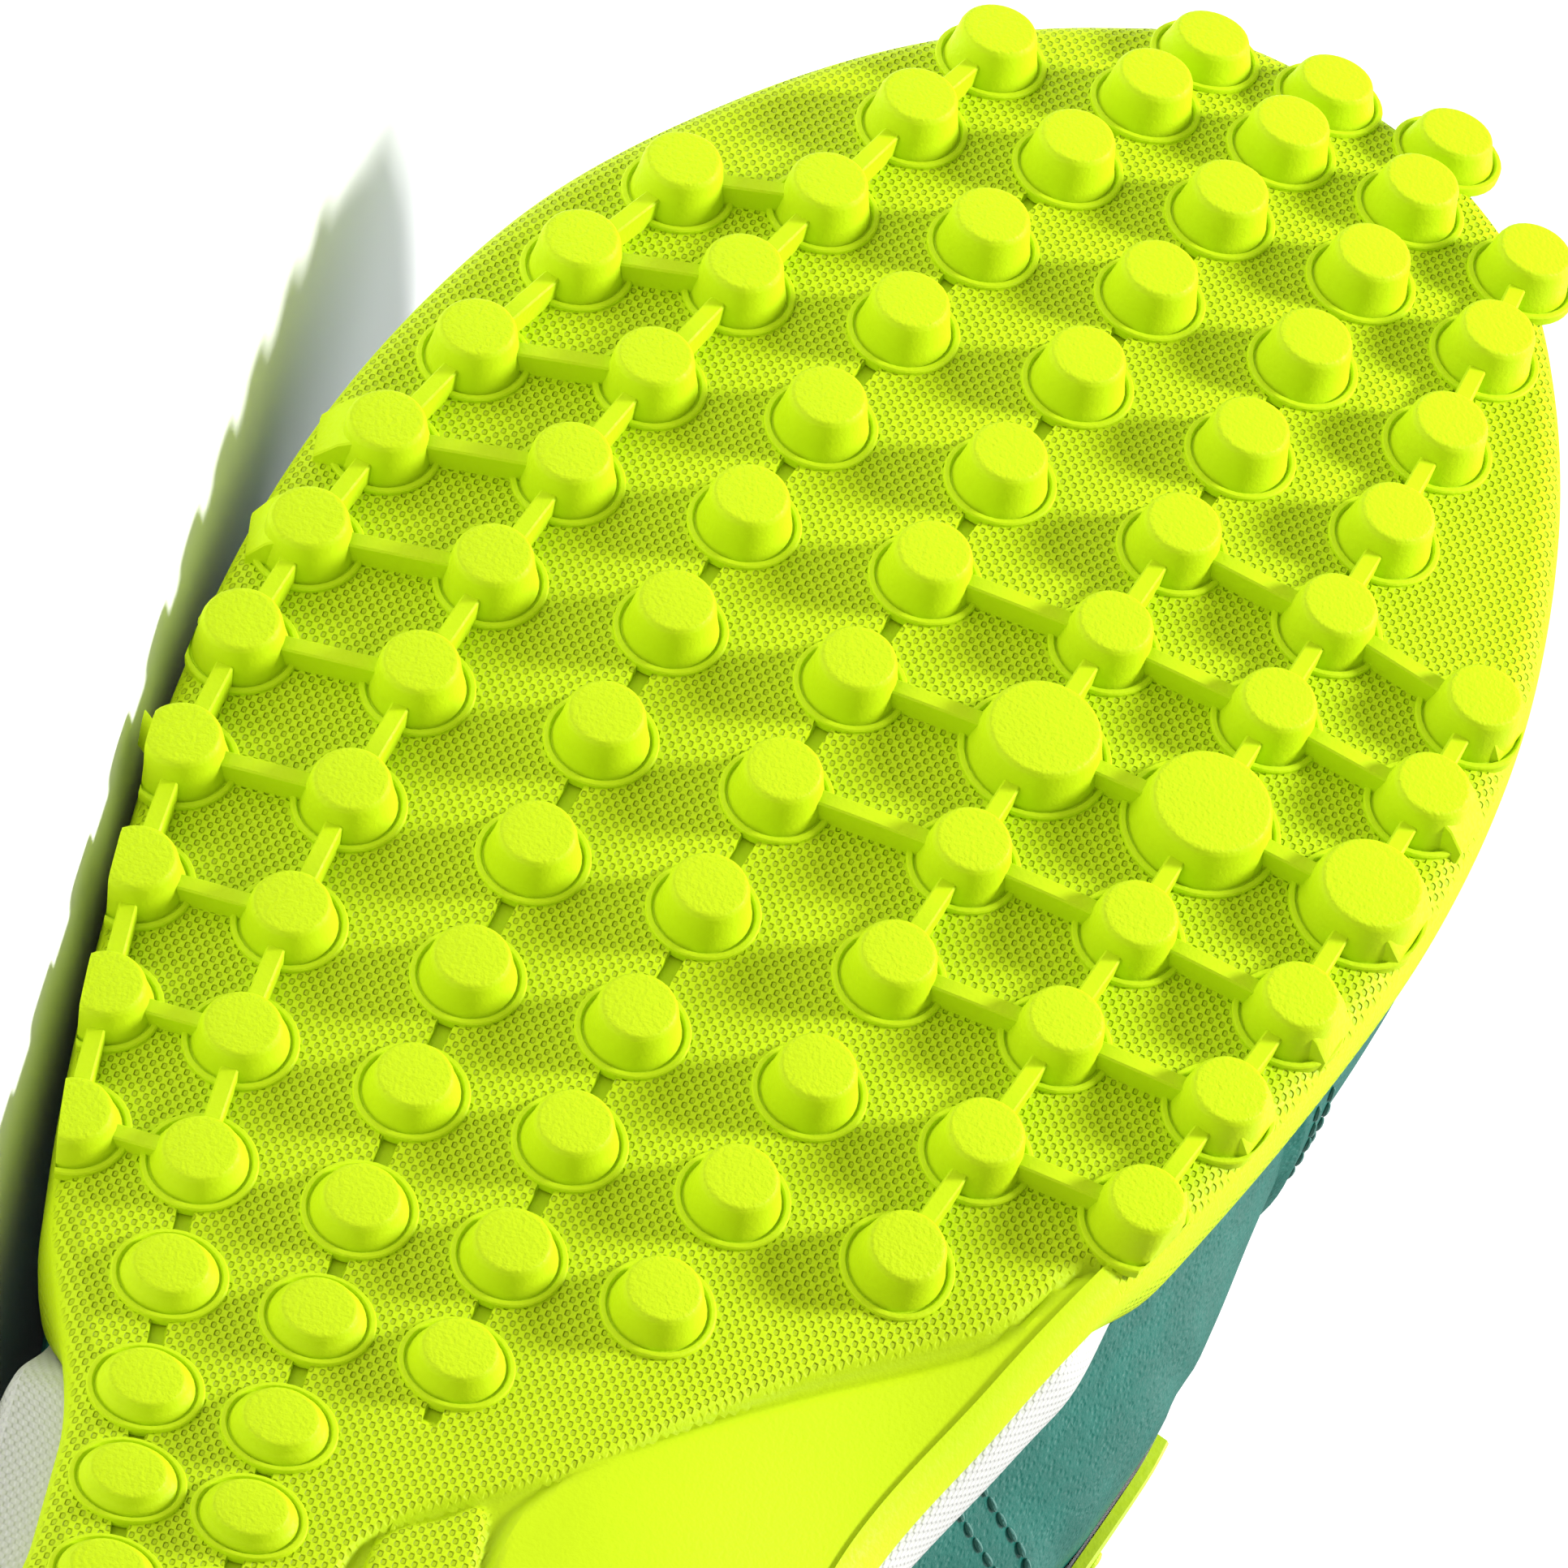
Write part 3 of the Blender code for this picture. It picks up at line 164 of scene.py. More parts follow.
# Upper. Columns: along, named height, its share, half width, inner and outer belly, turn, stand.
UPPER = [
    (0.00, COLLAR_HEIGHT, 1.00, 0.235, 0.030, 0.030, 0.00, 0.42),
    (0.10, COLLAR_HEIGHT, 0.96, 0.245, 0.035, 0.035, 0.00, 0.42),
    (0.22, COLLAR_HEIGHT, 0.80, 0.262, 0.060, 0.030, 0.00, 0.38),
    (0.32, COLLAR_HEIGHT, 0.96, 0.245, 0.090, 0.025, 0.15, 0.25),
    (0.40, INSTEP_HEIGHT, 1.00, 0.175, 0.095, 0.020, 0.35, 0.12),
    (0.50, INSTEP_HEIGHT, 0.85, 0.135, 0.065, 0.018, 0.48, 0.03),
    (0.58, INSTEP_HEIGHT, 0.715, 0.100, 0.035, 0.015, 0.53, 0.00),
    (0.66, TOE_BOX_HEIGHT, 1.24, 0.052, 0.020, 0.012, 0.56, 0.00),
    (0.74, TOE_BOX_HEIGHT, 1.08, 0.000, 0.012, 0.010, 0.58, 0.00),
    (0.83, TOE_BOX_HEIGHT, 0.95, 0.000, 0.008, 0.008, 0.62, 0.00),
    (1.00, TOE_BOX_HEIGHT, 0.95, 0.000, 0.008, 0.008, 0.62, 0.00),
]

# Ribs of the upper: how far the heel's top lies before the heel, the low control point's share of
# the rise, how much a normal is drawn up, and steps up a rib to measure a slope or a distance
HEEL_TOP_BACK = 0.035
LOW_CONTROL = 0.45
UP_PULL = 0.2
LEVEL_STEP = 0.01
EDGE_STEPS = 26

# Overlays of the upper: up to here cap and counter, from here the eyestay, and its reach past
OVERLAY_LEVEL = 0.37
STAY_LEVEL = 0.81
STAY_MARGIN = 0.06

# Rays of the upper along both sides, round the toe and round the heel, and its levels as spans
# of (first, last, count) outside and inside
RAY_COUNTS = (170, 70, 56)
OUTER_LEVELS = [(0.0, 0.36, 16), (0.368, 0.80, 18), (0.806, 0.985, 9), (0.995, 1.0, 2)]
INNER_LEVELS = [(1.0, 0.985, 2), (0.96, 0.96, 1), (0.92, 0.0, 14)]
COLLAR_ROLL = 0.35 * MM
PAD_ALONG = (0.30, 0.40)
PAD_LEVELS = (0.60, 0.90)

# Stud rows. Columns: along, backward bow at the outer and inner edge, height, squeeze along.
STUD_ROWS = [
    (0.341, 0.000, 0.000, 0.42, 0.82),
    (0.373, 0.000, 0.000, 0.42, 0.84),
    (0.404, 0.000, 0.000, 0.45, 0.88),
    (0.442, 0.000, 0.000, 0.48, 0.92),
    (0.481, 0.000, 0.000, 0.56, 1.00),
    (0.524, 0.000, 0.002, 0.68, 1.00),
    (0.567, 0.000, 0.002, 0.80, 1.00),
    (0.613, 0.002, 0.003, 0.92, 1.00),
    (0.659, 0.004, 0.009, 1.00, 1.00),
    (0.704, 0.008, 0.009, 1.00, 1.00),
    (0.749, 0.012, 0.013, 1.00, 1.00),
    (0.793, 0.015, 0.021, 1.00, 1.00),
    (0.838, 0.018, 0.034, 1.00, 1.00),
    (0.880, 0.022, 0.040, 1.00, 1.00),
    (0.921, 0.016, 0.044, 1.00, 1.00),
    (0.957, 0.014, 0.050, 0.95, 0.95),
    (0.985, 0.010, 0.050, 0.70, 0.88),
]
BOW_REACH = 0.42
TOE_ROWS = 14
HEEL_STUD_SHARE = 0.85

# Stud columns. Columns: name, places at the stations, first and last row, height added.
COLUMN_STATIONS = (0.345, 0.482, 0.612, 0.749, 0.880, 0.978)
STUD_COLUMNS = [
    ("A", (0.390, 0.419, 0.446, 0.389, 0.250, 0.100), 4, 13, 0.12),
    ("B", (0.268, 0.318, 0.312, 0.245, 0.137, 0.034), 0, 15, 0.00),
    ("C", (0.181, 0.190, 0.164, 0.104, 0.008, -0.094), 0, 16, 0.00),
    ("D", (0.095, 0.070, 0.026, -0.044, -0.130, -0.201), 3, 16, 0.12),
    ("E", (0.010, -0.050, -0.126, -0.194, -0.262, -0.307), 4, 16, 0.22),
    ("F", (-0.080, -0.180, -0.263, -0.333, -0.384, -0.404), 5, 15, 0.30),
    ("G", (-0.180, -0.300, -0.399, -0.467, -0.500, -0.500), 6, 11, 0.30),
]
EDGE_COLUMNS = ("A", "G")
BIG_STUDS = {("E", 9): 0.94, ("F", 9): 1.0, ("G", 9): 0.86}
COLUMN_RIBS = [("A", 4, 13), ("B", 4, 15), ("E", 7, 11), ("F", 5, 15), ("G", 6, 11)]
ROW_RIBS = [
    (4, "A", "B"), (5, "A", "B"), (6, "A", "B"), (7, "A", "B"), (8, "A", "B"),
    (9, "A", "B"), (10, "A", "B"), (11, "A", "B"), (12, "A", "B"), (13, "A", "B"),
    (6, "F", "G"), (7, "E", "G"), (8, "D", "G"), (9, "D", "G"), (10, "D", "G"), (11, "E", "G"),
]
HEEL_STUDS = [
    (0.045, (-0.17, 0.17)),
    (0.090, (-0.34, 0.0, 0.34)),
    (0.137, (-0.39, -0.13, 0.13, 0.39)),
    (0.184, (-0.39, -0.13, 0.13, 0.40)),
    (0.231, (-0.35, -0.11, 0.15, 0.42)),
    (0.278, (0.18, 0.43)),
]

# Flex grooves along stud columns. Columns: column, where it starts and ends (shares of LENGTH).
GROOVES = [("B", 0.30, 0.50), ("C", 0.28, 0.97), ("D", 0.42, 0.96), ("E", 0.74, 0.95),
           ("F", 0.80, 0.93)]
GROOVE_WIDTH = 1.45 * MM
GROOVE_DEPTH = 0.75 * MM
GROOVE_WALL = 0.15 * MM
GROOVE_SHOULDER = 0.4 * MM
GROOVE_FADE = 0.004

# Lines beside a groove: the most that they reach as a share of the width, the room that each
# keeps to the next, how far one may be moved aside before its groove ends, and narrow places
GROOVE_REACH = 0.04
GROOVE_ROOM = 2.4
GROOVE_SLIP = 0.002
NARROW = 8 * MM
NARROWEST = 0.1 * MM

# Foam side. Bulge columns: share up, share of the belly. Bevel columns: inset, gaps, drop.
FOAM_LEDGE = 0.5 * MM
FOAM_BELLY = 0.8 * MM
FOAM_SHOULDER = 1.7 * MM
FOAM_BULGE = [(0.075, 0.15), (0.25, 0.55), (0.50, 0.90), (0.75, 1.00), (0.975, 0.85)]
FOAM_BEVEL = [(-0.2 * MM, 0.0, 1.2 * MM), (0.7 * MM, 0.5, 0.3 * MM), (1.6 * MM, 0.8, 0.0)]

# Insole edge from its foot up. Columns: inset, share of the thickness.
INSOLE_EDGE = [(0.0, 0.0), (0.0, 0.8), (0.15 * MM, 0.95), (0.5 * MM, 1.0)]

# Ring round each stud's foot
RING_WIDTH = 0.75 * MM
RING_HEIGHT = 0.45 * MM
RING_GROOVE = 0.22 * MM

# Stud profile from its root to its top. Columns: shares of the foot and of the top in the radius,
# radius added, share of the height in the level, level added.
STUD_PROFILE = [
    (0.0, 0.0, 0.0, 0.0, -ROOT),
    (1.0, 0.0, RING_WIDTH, 0.0, -ROOT),
    (1.0, 0.0, RING_WIDTH, 0.0, 0.6 * RING_HEIGHT),
    (1.0, 0.0, RING_WIDTH - 0.10 * MM, 0.0, 0.9 * RING_HEIGHT),
    (1.0, 0.0, RING_WIDTH - 0.25 * MM, 0.0, RING_HEIGHT),
    (1.0, 0.0, RING_GROOVE + 0.08 * MM, 0.0, RING_HEIGHT),
    (1.0, 0.0, RING_GROOVE, 0.0, 0.8 * RING_HEIGHT),
    (1.0, 0.0, 0.10 * MM, 0.0, 0.15 * RING_HEIGHT),
    (1.0, 0.0, 0.0, 0.0, 0.25 * RING_HEIGHT),
    (1.0, 0.0, -0.12 * MM, 0.0, 0.6 * MM),
    (0.5, 0.5, 0.0, 0.5, 0.0),
    (0.0, 1.0, 0.18 * MM, 1.0, -0.55 * MM),
    (0.0, 1.0, 0.02 * MM, 1.0, -0.18 * MM),
    (0.0, 1.0, -0.18 * MM, 1.0, -0.03 * MM),
    (0.0, 1.0, -0.45 * MM, 1.0, 0.0),
    (0.0, 0.0, 0.0, 1.0, 0.0),
]
STUD_TOP_FROM = 13
STUD_SIDES = 36

# Bars of ribs and fins. Places along and how far each lies lower, places across, bevel, foot.
BAR_STATIONS = (0.0, 0.03, 0.5, 0.97, 1.0)
BAR_DROPS = (0.12 * MM, 0.0, 0.0, 0.0, 0.12 * MM)
BAR_ACROSS = (-1.0, -1.0, -0.92, 0.0, 0.92, 1.0, 1.0)
BAR_BEVEL = 0.16 * MM
BAR_FOOT = 1.12
RIB_START = 0.93
RIB_SHARE = 0.6

# Fins from the outermost studs to the edge: sizes, and shares of the stud's height and top
FIN_SHORT = 0.5 * MM
FIN_REACH = 1.6 * MM
FIN_SWEEP = 0.6 * MM
FIN_FAR = 3.0 * MM
FIN_NEAR = 0.6
FIN_HEIGHTS = (0.90, 0.88, 0.62, 0.14, 0.06)
FIN_WIDTHS = (1.70, 1.70, 1.60, 1.45, 1.40)

# Camera, in the wearing frame: the photograph is 1932 pixels wide
PHOTO_SIDE = 1932
PIXELS_PER_METRE = 15300
AIM_PIXEL = (960, 985)
AIM_ALONG = 188.5 * MM
CAMERA_DISTANCE = 1.674
VIEW_RIGHT = Vector((-0.946, 0.289, -0.149))
VIEW_UP = Vector((0.322, 0.763, -0.560))
VIEW_BACK = Vector((-0.048, -0.578, -0.815))
SENSOR = 36.0

# Light. Lamps: name, place, size and watts
FILL_STRENGTH = 0.42
LAMPS = [
    ("key", (-0.222, 0.470, 1.190), 0.22, 23),
    ("backdrop", (1.5, 1.2, 2.2), 2.0, 30),
]

# Stations along the sole: places as shares of LENGTH and how many steps lie before each
END_SPAN = 0.05
END_CROWDING = 1.8
STATION_SPANS = [(0.0, 0), (0.05, 36), (0.24, 46), (0.54, 150), (0.95, 100), (1.0, 40)]
SOLE_STATIONS = sum(span[1] for span in STATION_SPANS)
FILL_LINES = 19
OUTSOLE_CAP, MIDSOLE_CAP, INSOLE_CAP = 13, 11, 9

# Rings of the outsole's side: degrees round the rolled edge, shares up to the rim, and how strong
# the waffle is on the edge and on the wrap
EDGE_TURNS = (0, 22, 45, 68, 90)
RIM_SHARES = (0.25, 0.5, 0.75, 0.93)
EDGE_TREAD = 0.9
WRAP_TREAD = 0.55

# Points on each span of a smooth curve
OUTLINE_SPAN = 24
TABLE_SPAN = 12
RECESS_SPAN = 6
SEAM_SPAN = 40
TONGUE_SPANS = (6, 4)
LACE_SPAN = 6

# Smooth recess of the inner arch, the raised panel in it and the waffle leaf beside it, as plan
# points (x, y) in millimetres
RECESS = [
    (-40, 155), (-30, 147), (-17, 136), (-3, 120), (8, 111), (11, 104), (9, 96), (2, 87),
    (-10, 79), (-24, 74), (-45, 70), (-60, 110),
]
ARCH_PANEL = [
    (-40, 154), (-30, 145), (-18, 135), (-8, 125), (-2, 118), (0, 112), (-1, 101), (-5, 94),
    (-14, 87), (-25, 82), (-45, 78), (-60, 110),
]
LEAF = [(9, 108), (5, 112), (2, 114), (1, 106), (2, 99), (5, 94), (8, 99)]
RECESS_DEPTH = 1.0 * MM
PANEL_DEPTH = 0.35 * MM
RECESS_WALL = 0.45 * MM
TABLES = {}


def curve_through(points, per_span, closed=False):
    """Points on a Catmull-Rom curve that passes through the given points."""
    points = np.asarray(points, float)
    count = len(points)
    spans = count if closed else count - 1
    first = np.arange(spans)
    if closed:
        near = [points[(first + j) % count] for j in (-1, 0, 1, 2)]
    else:
        near = [points[np.clip(first + j, 0, count - 1)] for j in (-1, 0, 1, 2)]
    before, here, there, after = [p[:, None] for p in near]
    t = (np.arange(per_span) / per_span)[None, :, None]
    found = 0.5 * (2 * here + (there - before) * t
                   + (2 * before - 5 * here + 4 * there - after) * t ** 2
                   + (3 * here - before - 3 * there + after) * t ** 3)
    found = found.reshape(-1, points.shape[1])
    return found if closed else np.vstack([found, points[-1:]])


def table_curve(key, rows, along):
    """Value at a place along of the smooth curve through rows of (along, value)."""
    if key not in TABLES:
        TABLES[key] = curve_through(rows, TABLE_SPAN)
    dense = TABLES[key]
    return np.interp(along, dense[:, 0], dense[:, 1])


def ease(low, high, value):
    """Smooth step from 0 at low to 1 at high."""
    t = np.clip((np.asarray(value, float) - low) / (high - low), 0.0, 1.0)
    return t * t * (3 - 2 * t)


def outline_points():
    """Dense closed outline: heel, outer side, toe tip, inner side."""
    outer = [(row[1] * row[3], row[0] * LENGTH) for row in OUTLINE]
    inner = [(-row[1] * row[2], row[0] * LENGTH) for row in OUTLINE]
    keys = [(0.0, 0.0)] + outer + [(-TOE_TIP_INWARD * BALL_WIDTH, LENGTH)] + inner[::-1]
    return curve_through(keys, OUTLINE_SPAN, True)


OUTLINE_POINTS = outline_points()
TIP_INDEX = int(np.argmax(OUTLINE_POINTS[:, 1]))


def edge_at(y):
    """Outer and inner edge of the outline at a place along."""
    outer = OUTLINE_POINTS[:TIP_INDEX + 1]
    inner = np.vstack([OUTLINE_POINTS[TIP_INDEX:], OUTLINE_POINTS[:1]])[::-1]
    return np.interp(y, outer[:, 1], outer[:, 0]), np.interp(y, inner[:, 1], inner[:, 0])


def axis_x(y):
    """Middle line of the shoe: straight from the heel's centre to the toe's centre."""
    ends = [sum(edge_at(share * LENGTH)) / 2 for share in (HEEL_CENTRE, TOE_CENTRE)]
    share = (np.asarray(y) / LENGTH - HEEL_CENTRE) / (TOE_CENTRE - HEEL_CENTRE)
    return ends[0] + np.clip(share, 0, 1) * (ends[1] - ends[0])


def rocker(y):
    """Rise of the sole's underside towards the toe and the heel."""
    toe = np.maximum(0, y - BALL_LINE * LENGTH) ** 2 / (2 * TOE_ROCKER)
    heel = np.maximum(0, HEEL_LINE * LENGTH - y) ** 2 / (2 * HEEL_ROCKER)
    return toe + heel


def bell(marks, along):
    """1 between the two middle marks, 0 outside the outer two, eased between."""
    return ease(marks[0], marks[1], along) * (1 - ease(marks[2], marks[3], along))


def ground(x, y):
    """Underside between the studs: rocker plus crown plus the raised inner arch."""
    inward = (axis_x(y) - x) / BALL_WIDTH
    arch = ARCH_LIFT * bell(ARCH_RANGE, y / LENGTH) * ease(*ARCH_EDGE, inward)
    return rocker(y) + x ** 2 / (2 * CROWN_RADIUS) + arch


def bed(y):
    """Height of the foot bed, on top of the foam."""
    along = np.asarray(y) / LENGTH
    heel_part = HEEL_STACK + (BALL_STACK - HEEL_STACK) * ease(*HEEL_TO_BALL, along)
    return rocker(y) + heel_part + (TOE_STACK - BALL_STACK) * ease(*BALL_TO_TOE, along)


def rim_share(x, y):
    """1 where the rubber wraps up to the upper, 0 where it stops at the sole's edge."""
    along = y / LENGTH
    return np.where(x > axis_x(y), ease(*OUTER_WRAP, along), ease(*INNER_WRAP, along))


def waist_cut(x, y):
    """How far the rubber's edge is cut in at the outer side of the waist."""
    return WAIST_CUT * bell(WAIST_RANGE, y / LENGTH) * (x > axis_x(y))


def laid(points):
    """Points of the wearing frame, laid on the floor and pressed flat where they meet it."""
    flat = np.asarray(points, float).reshape(-1, 3)
    matrix = np.array(LAID)
    placed = flat @ matrix[:3, :3].T + matrix[:3, 3]
    placed[:, 2] = np.maximum(placed[:, 2], 0.0)
    return placed


def make_piece(name, points, faces, material, replaces=(), marks=None, sharp=40.0):
    """Closed piece from wearing-frame points and faces, with float attributes per point."""
    mesh = bpy.data.meshes.new(name)
    mesh.from_pydata(laid(points).tolist(), [], [list(face) for face in faces])
    for mark, values in (marks or {}).items():
        attribute = mesh.attributes.new(mark, "FLOAT_VECTOR" if values.ndim == 2 else "FLOAT",
                                        "POINT")
        field = "vector" if values.ndim == 2 else "value"
        attribute.data.foreach_set(field, np.ascontiguousarray(values, np.float32).ravel())
    bm = bmesh.new()
    bm.from_mesh(mesh)
    bmesh.ops.remove_doubles(bm, verts=bm.verts, dist=WELD)
    bmesh.ops.dissolve_degenerate(bm, dist=SAME_PLACE, edges=bm.edges)
    bmesh.ops.recalc_face_normals(bm, faces=bm.faces)
    if bm.calc_volume(signed=True) < 0:
        bmesh.ops.reverse_faces(bm, faces=bm.faces)
    bm.to_mesh(mesh)
    bm.free()
    mesh.shade_smooth()
    mesh.set_sharp_from_angle(angle=math.radians(sharp))
    mesh.materials.append(material)
    piece = bpy.data.objects.new(name, mesh)
    bpy.context.scene.collection.objects.link(piece)
    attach(piece, "root")
    if replaces:
        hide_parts(*replaces)
    return piece


def grid_faces(rows, columns, around=False):
    """Quads of a grid of points stored row by row."""
    last = columns if around else columns - 1
    r, c = np.meshgrid(np.arange(rows - 1), np.arange(last), indexing="ij")
    nxt = (c + 1) % columns
    return np.stack([r * columns + c, r * columns + nxt, (r + 1) * columns + nxt,
                     (r + 1) * columns + c], axis=-1).reshape(-1, 4)


def repeated(count, rows, columns):
    """Faces of one closed-round grid for each of count copies stored one after another."""
    one = grid_faces(rows, columns, True)
    shift = np.arange(count) * rows * columns
    return (one[None] + shift[:, None, None]).reshape(-1, 4)


def column_x(name, along):
    """Place across of a stud column: its smooth curve, and a straight line past the last row."""
    places = next(c for c in STUD_COLUMNS if c[0] == name)[1]
    rows = list(zip(COLUMN_STATIONS, places))
    (low, before), (high, last) = rows[-2:]
    beyond = last + (along - high) * (last - before) / (high - low)
    within = table_curve(("column", name), rows, along)
    return BALL_WIDTH * np.where(along > high, beyond, within)


def stud_place(name, row):
    """Plan point of a stud in the grid of rows and columns; a row bows back with side squared."""
    along, bow_outer, bow_inner = STUD_ROWS[row][:3]
    x = float(column_x(name, np.array(along)))
    side = (x - float(column_x("D", np.array(along)))) / (BOW_REACH * BALL_WIDTH)
    bow = (bow_outer if side > 0 else bow_inner) * side ** 2
    return np.array([x, (along - bow) * LENGTH])


def stud_list():
    """Studs as (column, row, x, y, height, top radius, foot radius, squeeze)."""
    studs = []
    for name, places, first, last, lift in STUD_COLUMNS:
        for row in range(first, last + 1):
            share = min(1.0, STUD_ROWS[row][3] + lift * (row < TOE_ROWS))
            size = BIG_STUDS.get((name, row))
            top = STUD_TOP if size is None else BIG_TOP * size
            foot = STUD_FOOT if size is None else BIG_FOOT * size
            x, y = stud_place(name, row)
            studs.append((name, row, x, y, STUD_HEIGHT * share, top, foot, STUD_ROWS[row][4]))
    for k, (along, places) in enumerate(HEEL_STUDS):
        for j, across in enumerate(places):
            studs.append((f"H{k}", j, across * HEEL_WIDTH, along * LENGTH,
                          HEEL_STUD_SHARE * STUD_HEIGHT, STUD_TOP, STUD_FOOT, 1.0))
    return studs


def ground_normals(x, y):
    """Outward normals of the underside."""
    step = SLOPE_STEP
    slope_x = (ground(x + step, y) - ground(x - step, y)) / (2 * step)
    slope_y = (ground(x, y + step) - ground(x, y - step)) / (2 * step)
    normal = np.stack([slope_x, slope_y, -np.ones_like(slope_x)], axis=-1)
    return normal / np.linalg.norm(normal, axis=-1, keepdims=True)


def sole_loop():
    """Outline loop at the stations: outer side heel to toe, then back on the inner.

    Returns the points and their outward directions in plan. Stations crowd towards both ends.
    """
    spans = zip(STATION_SPANS, STATION_SPANS[1:])
    runs = [np.linspace(low[0], high[0], high[1] + 1)[1:] for low, high in spans]
    share = np.concatenate([[0.0]] + runs)
    for flip in (False, True):
        share = 1 - share if flip else share
        crowded = END_SPAN * (np.minimum(share, END_SPAN) / END_SPAN) ** END_CROWDING
        share = np.where(share < END_SPAN, crowded, share)
    share = 1 - share
    y = share * LENGTH
    outer, inner = edge_at(y)
    inner[0] = outer[0]
    inner[-1] = outer[-1]
    loop = np.concatenate([np.stack([outer, y], -1), np.stack([inner, y], -1)[-2:0:-1]])
    run = np.roll(loop, -1, axis=0) - np.roll(loop, 1, axis=0)
    outward = np.stack([run[:, 1], -run[:, 0]], -1)
    outward = outward / np.linalg.norm(outward, axis=1, keepdims=True)
    return loop, outward


def loop_sides(loop):
    """Outer and inner side of a loop, both from heel to toe."""
    outer = loop[:SOLE_STATIONS + 1]
    inner = np.vstack([loop[:1], loop[:SOLE_STATIONS - 1:-1]])
    return outer, inner


def crossed(loop, across):
    """Plan grid between the two sides of a loop, at the given shares across."""
    outer, inner = loop_sides(loop[:, :2])
    return outer[:, None] + (inner - outer)[:, None] * across[None, :, None]


def ring_at(loop, outward, inset, height):
    """Loop moved in by inset, at a height."""
    return np.column_stack([loop - outward * inset[:, None], height])


def side_layout(side, loop):
    """Pattern place on a side: the distance up it and the distance round it."""
    steps = np.linalg.norm(np.diff(side, axis=0), axis=2)
    rise = np.cumsum(np.vstack([np.zeros(len(loop)), steps]), axis=0)
    run = np.concatenate([[0], np.cumsum(np.linalg.norm(np.diff(loop, axis=0), axis=1))])
    return np.stack([rise, np.broadcast_to(run, rise.shape), 0 * rise], -1)


def joined(parts):
    """One skin from parts of (grid of points, layout grid, grids of marks, closed round)."""
    faces, total = [], 0
    for grid, around in [(part[0], part[3]) for part in parts]:
        faces.append(total + grid_faces(grid.shape[0], grid.shape[1], around))
        total += grid.shape[0] * grid.shape[1]
    points = np.vstack([part[0].reshape(-1, 3) for part in parts])
    marks = {"layout": np.vstack([part[1].reshape(-1, 3) for part in parts])}
    for key in parts[0][2]:
        marks[key] = np.concatenate([np.ravel(part[2][key] + np.zeros(part[0].shape[:2]))
                                     for part in parts])
    return points, np.vstack(faces), marks


def flex_lines(outer, inner, y):
    """Shares across the underside for each station, and how far each line lies in a groove.

    Between the grooves the lines are spread evenly. Beside a groove there are seven at fixed
    offsets, of which the middle three are sunk where the groove runs.
    """
    half = GROOVE_WIDTH / 2
    offsets = np.array([-half - GROOVE_SHOULDER, -half, -half + GROOVE_WALL, 0,
                        half - GROOVE_WALL, half, half + GROOVE_SHOULDER])
    depths = (0, 0, 1, 1, 1, 0, 0)
    width = inner[:, 0] - outer[:, 0]
    safe = np.where(np.abs(width) < NARROWEST, -NARROWEST, width)
    middle = [np.clip((column_x(g[0], y / LENGTH) - outer[:, 0]) / safe, 0, 1) for g in GROOVES]
    stops = [np.zeros_like(y)] + middle + [np.ones_like(y)]
    spans = len(stops) - 1
    reach = np.minimum(offsets[-1] / np.maximum(np.abs(safe), NARROW), GROOVE_REACH)
    room = GROOVE_ROOM * reach
    for k in range(1, spans):
        stops[k] = np.clip(stops[k], stops[k - 1] + room, 1 - room * (spans - k))
    lines, groove = [], []
    for k in range(spans):
        first, last = k == 0, k == spans - 1
        low = stops[k] + (0 if first else reach)
        high = stops[k + 1] - (0 if last else reach)
        for j in range(0 if first else 1, FILL_LINES + (1 if last else 0)):
            lines.append(low + (high - low) * j / FILL_LINES)
            groove.append(np.zeros_like(y))
        if not last:
            start, end = GROOVES[k][1:]
            window = bell((start, start + GROOVE_FADE, end, end + GROOVE_FADE), y / LENGTH)
            fits = (np.abs(middle[k] - stops[k + 1]) < GROOVE_SLIP) & (reach < GROOVE_REACH)
            for offset, depth in zip(offsets, depths):
                lines.append(stops[k + 1] + reach * offset / offsets[-1])
                groove.append(window * depth * fits)
    return np.stack(lines, axis=1), np.stack(groove, axis=1)


def outsole_under(border):
    """Underside of the outsole: a grid across the border loop, sunk by grooves and the recess."""
    outer, inner = loop_sides(border)
    y = 0.5 * (outer[:, 1] + inner[:, 1])
    lines, groove = flex_lines(outer, inner, y)
    plan = outer[:, None] + (inner - outer)[:, None] * lines[..., None]
    recess, panel, leaf = arch_shares(plan)
    groove = groove * (1 - recess)
    sunk = GROOVE_DEPTH * groove + RECESS_DEPTH * recess * (1 - leaf)
    sunk = sunk - (RECESS_DEPTH - PANEL_DEPTH) * panel
    under = np.dstack([plan, ground(plan[..., 0], plan[..., 1]) + sunk])
    waffle = (1 - np.clip(2 * groove, 0, 1)) * (1 - np.clip(2 * recess, 0, 1) * (1 - leaf))
    # Painted shade: the grooves and the arch's recess, outside its panel and the leaf, are darkened
    # in colour by this mark
    shade_in_hollows = np.maximum(0.8 * groove, recess * (1 - panel) * (1 - leaf))
    return under, under, {"tread": waffle, "painted_shade": shade_in_hollows}, False


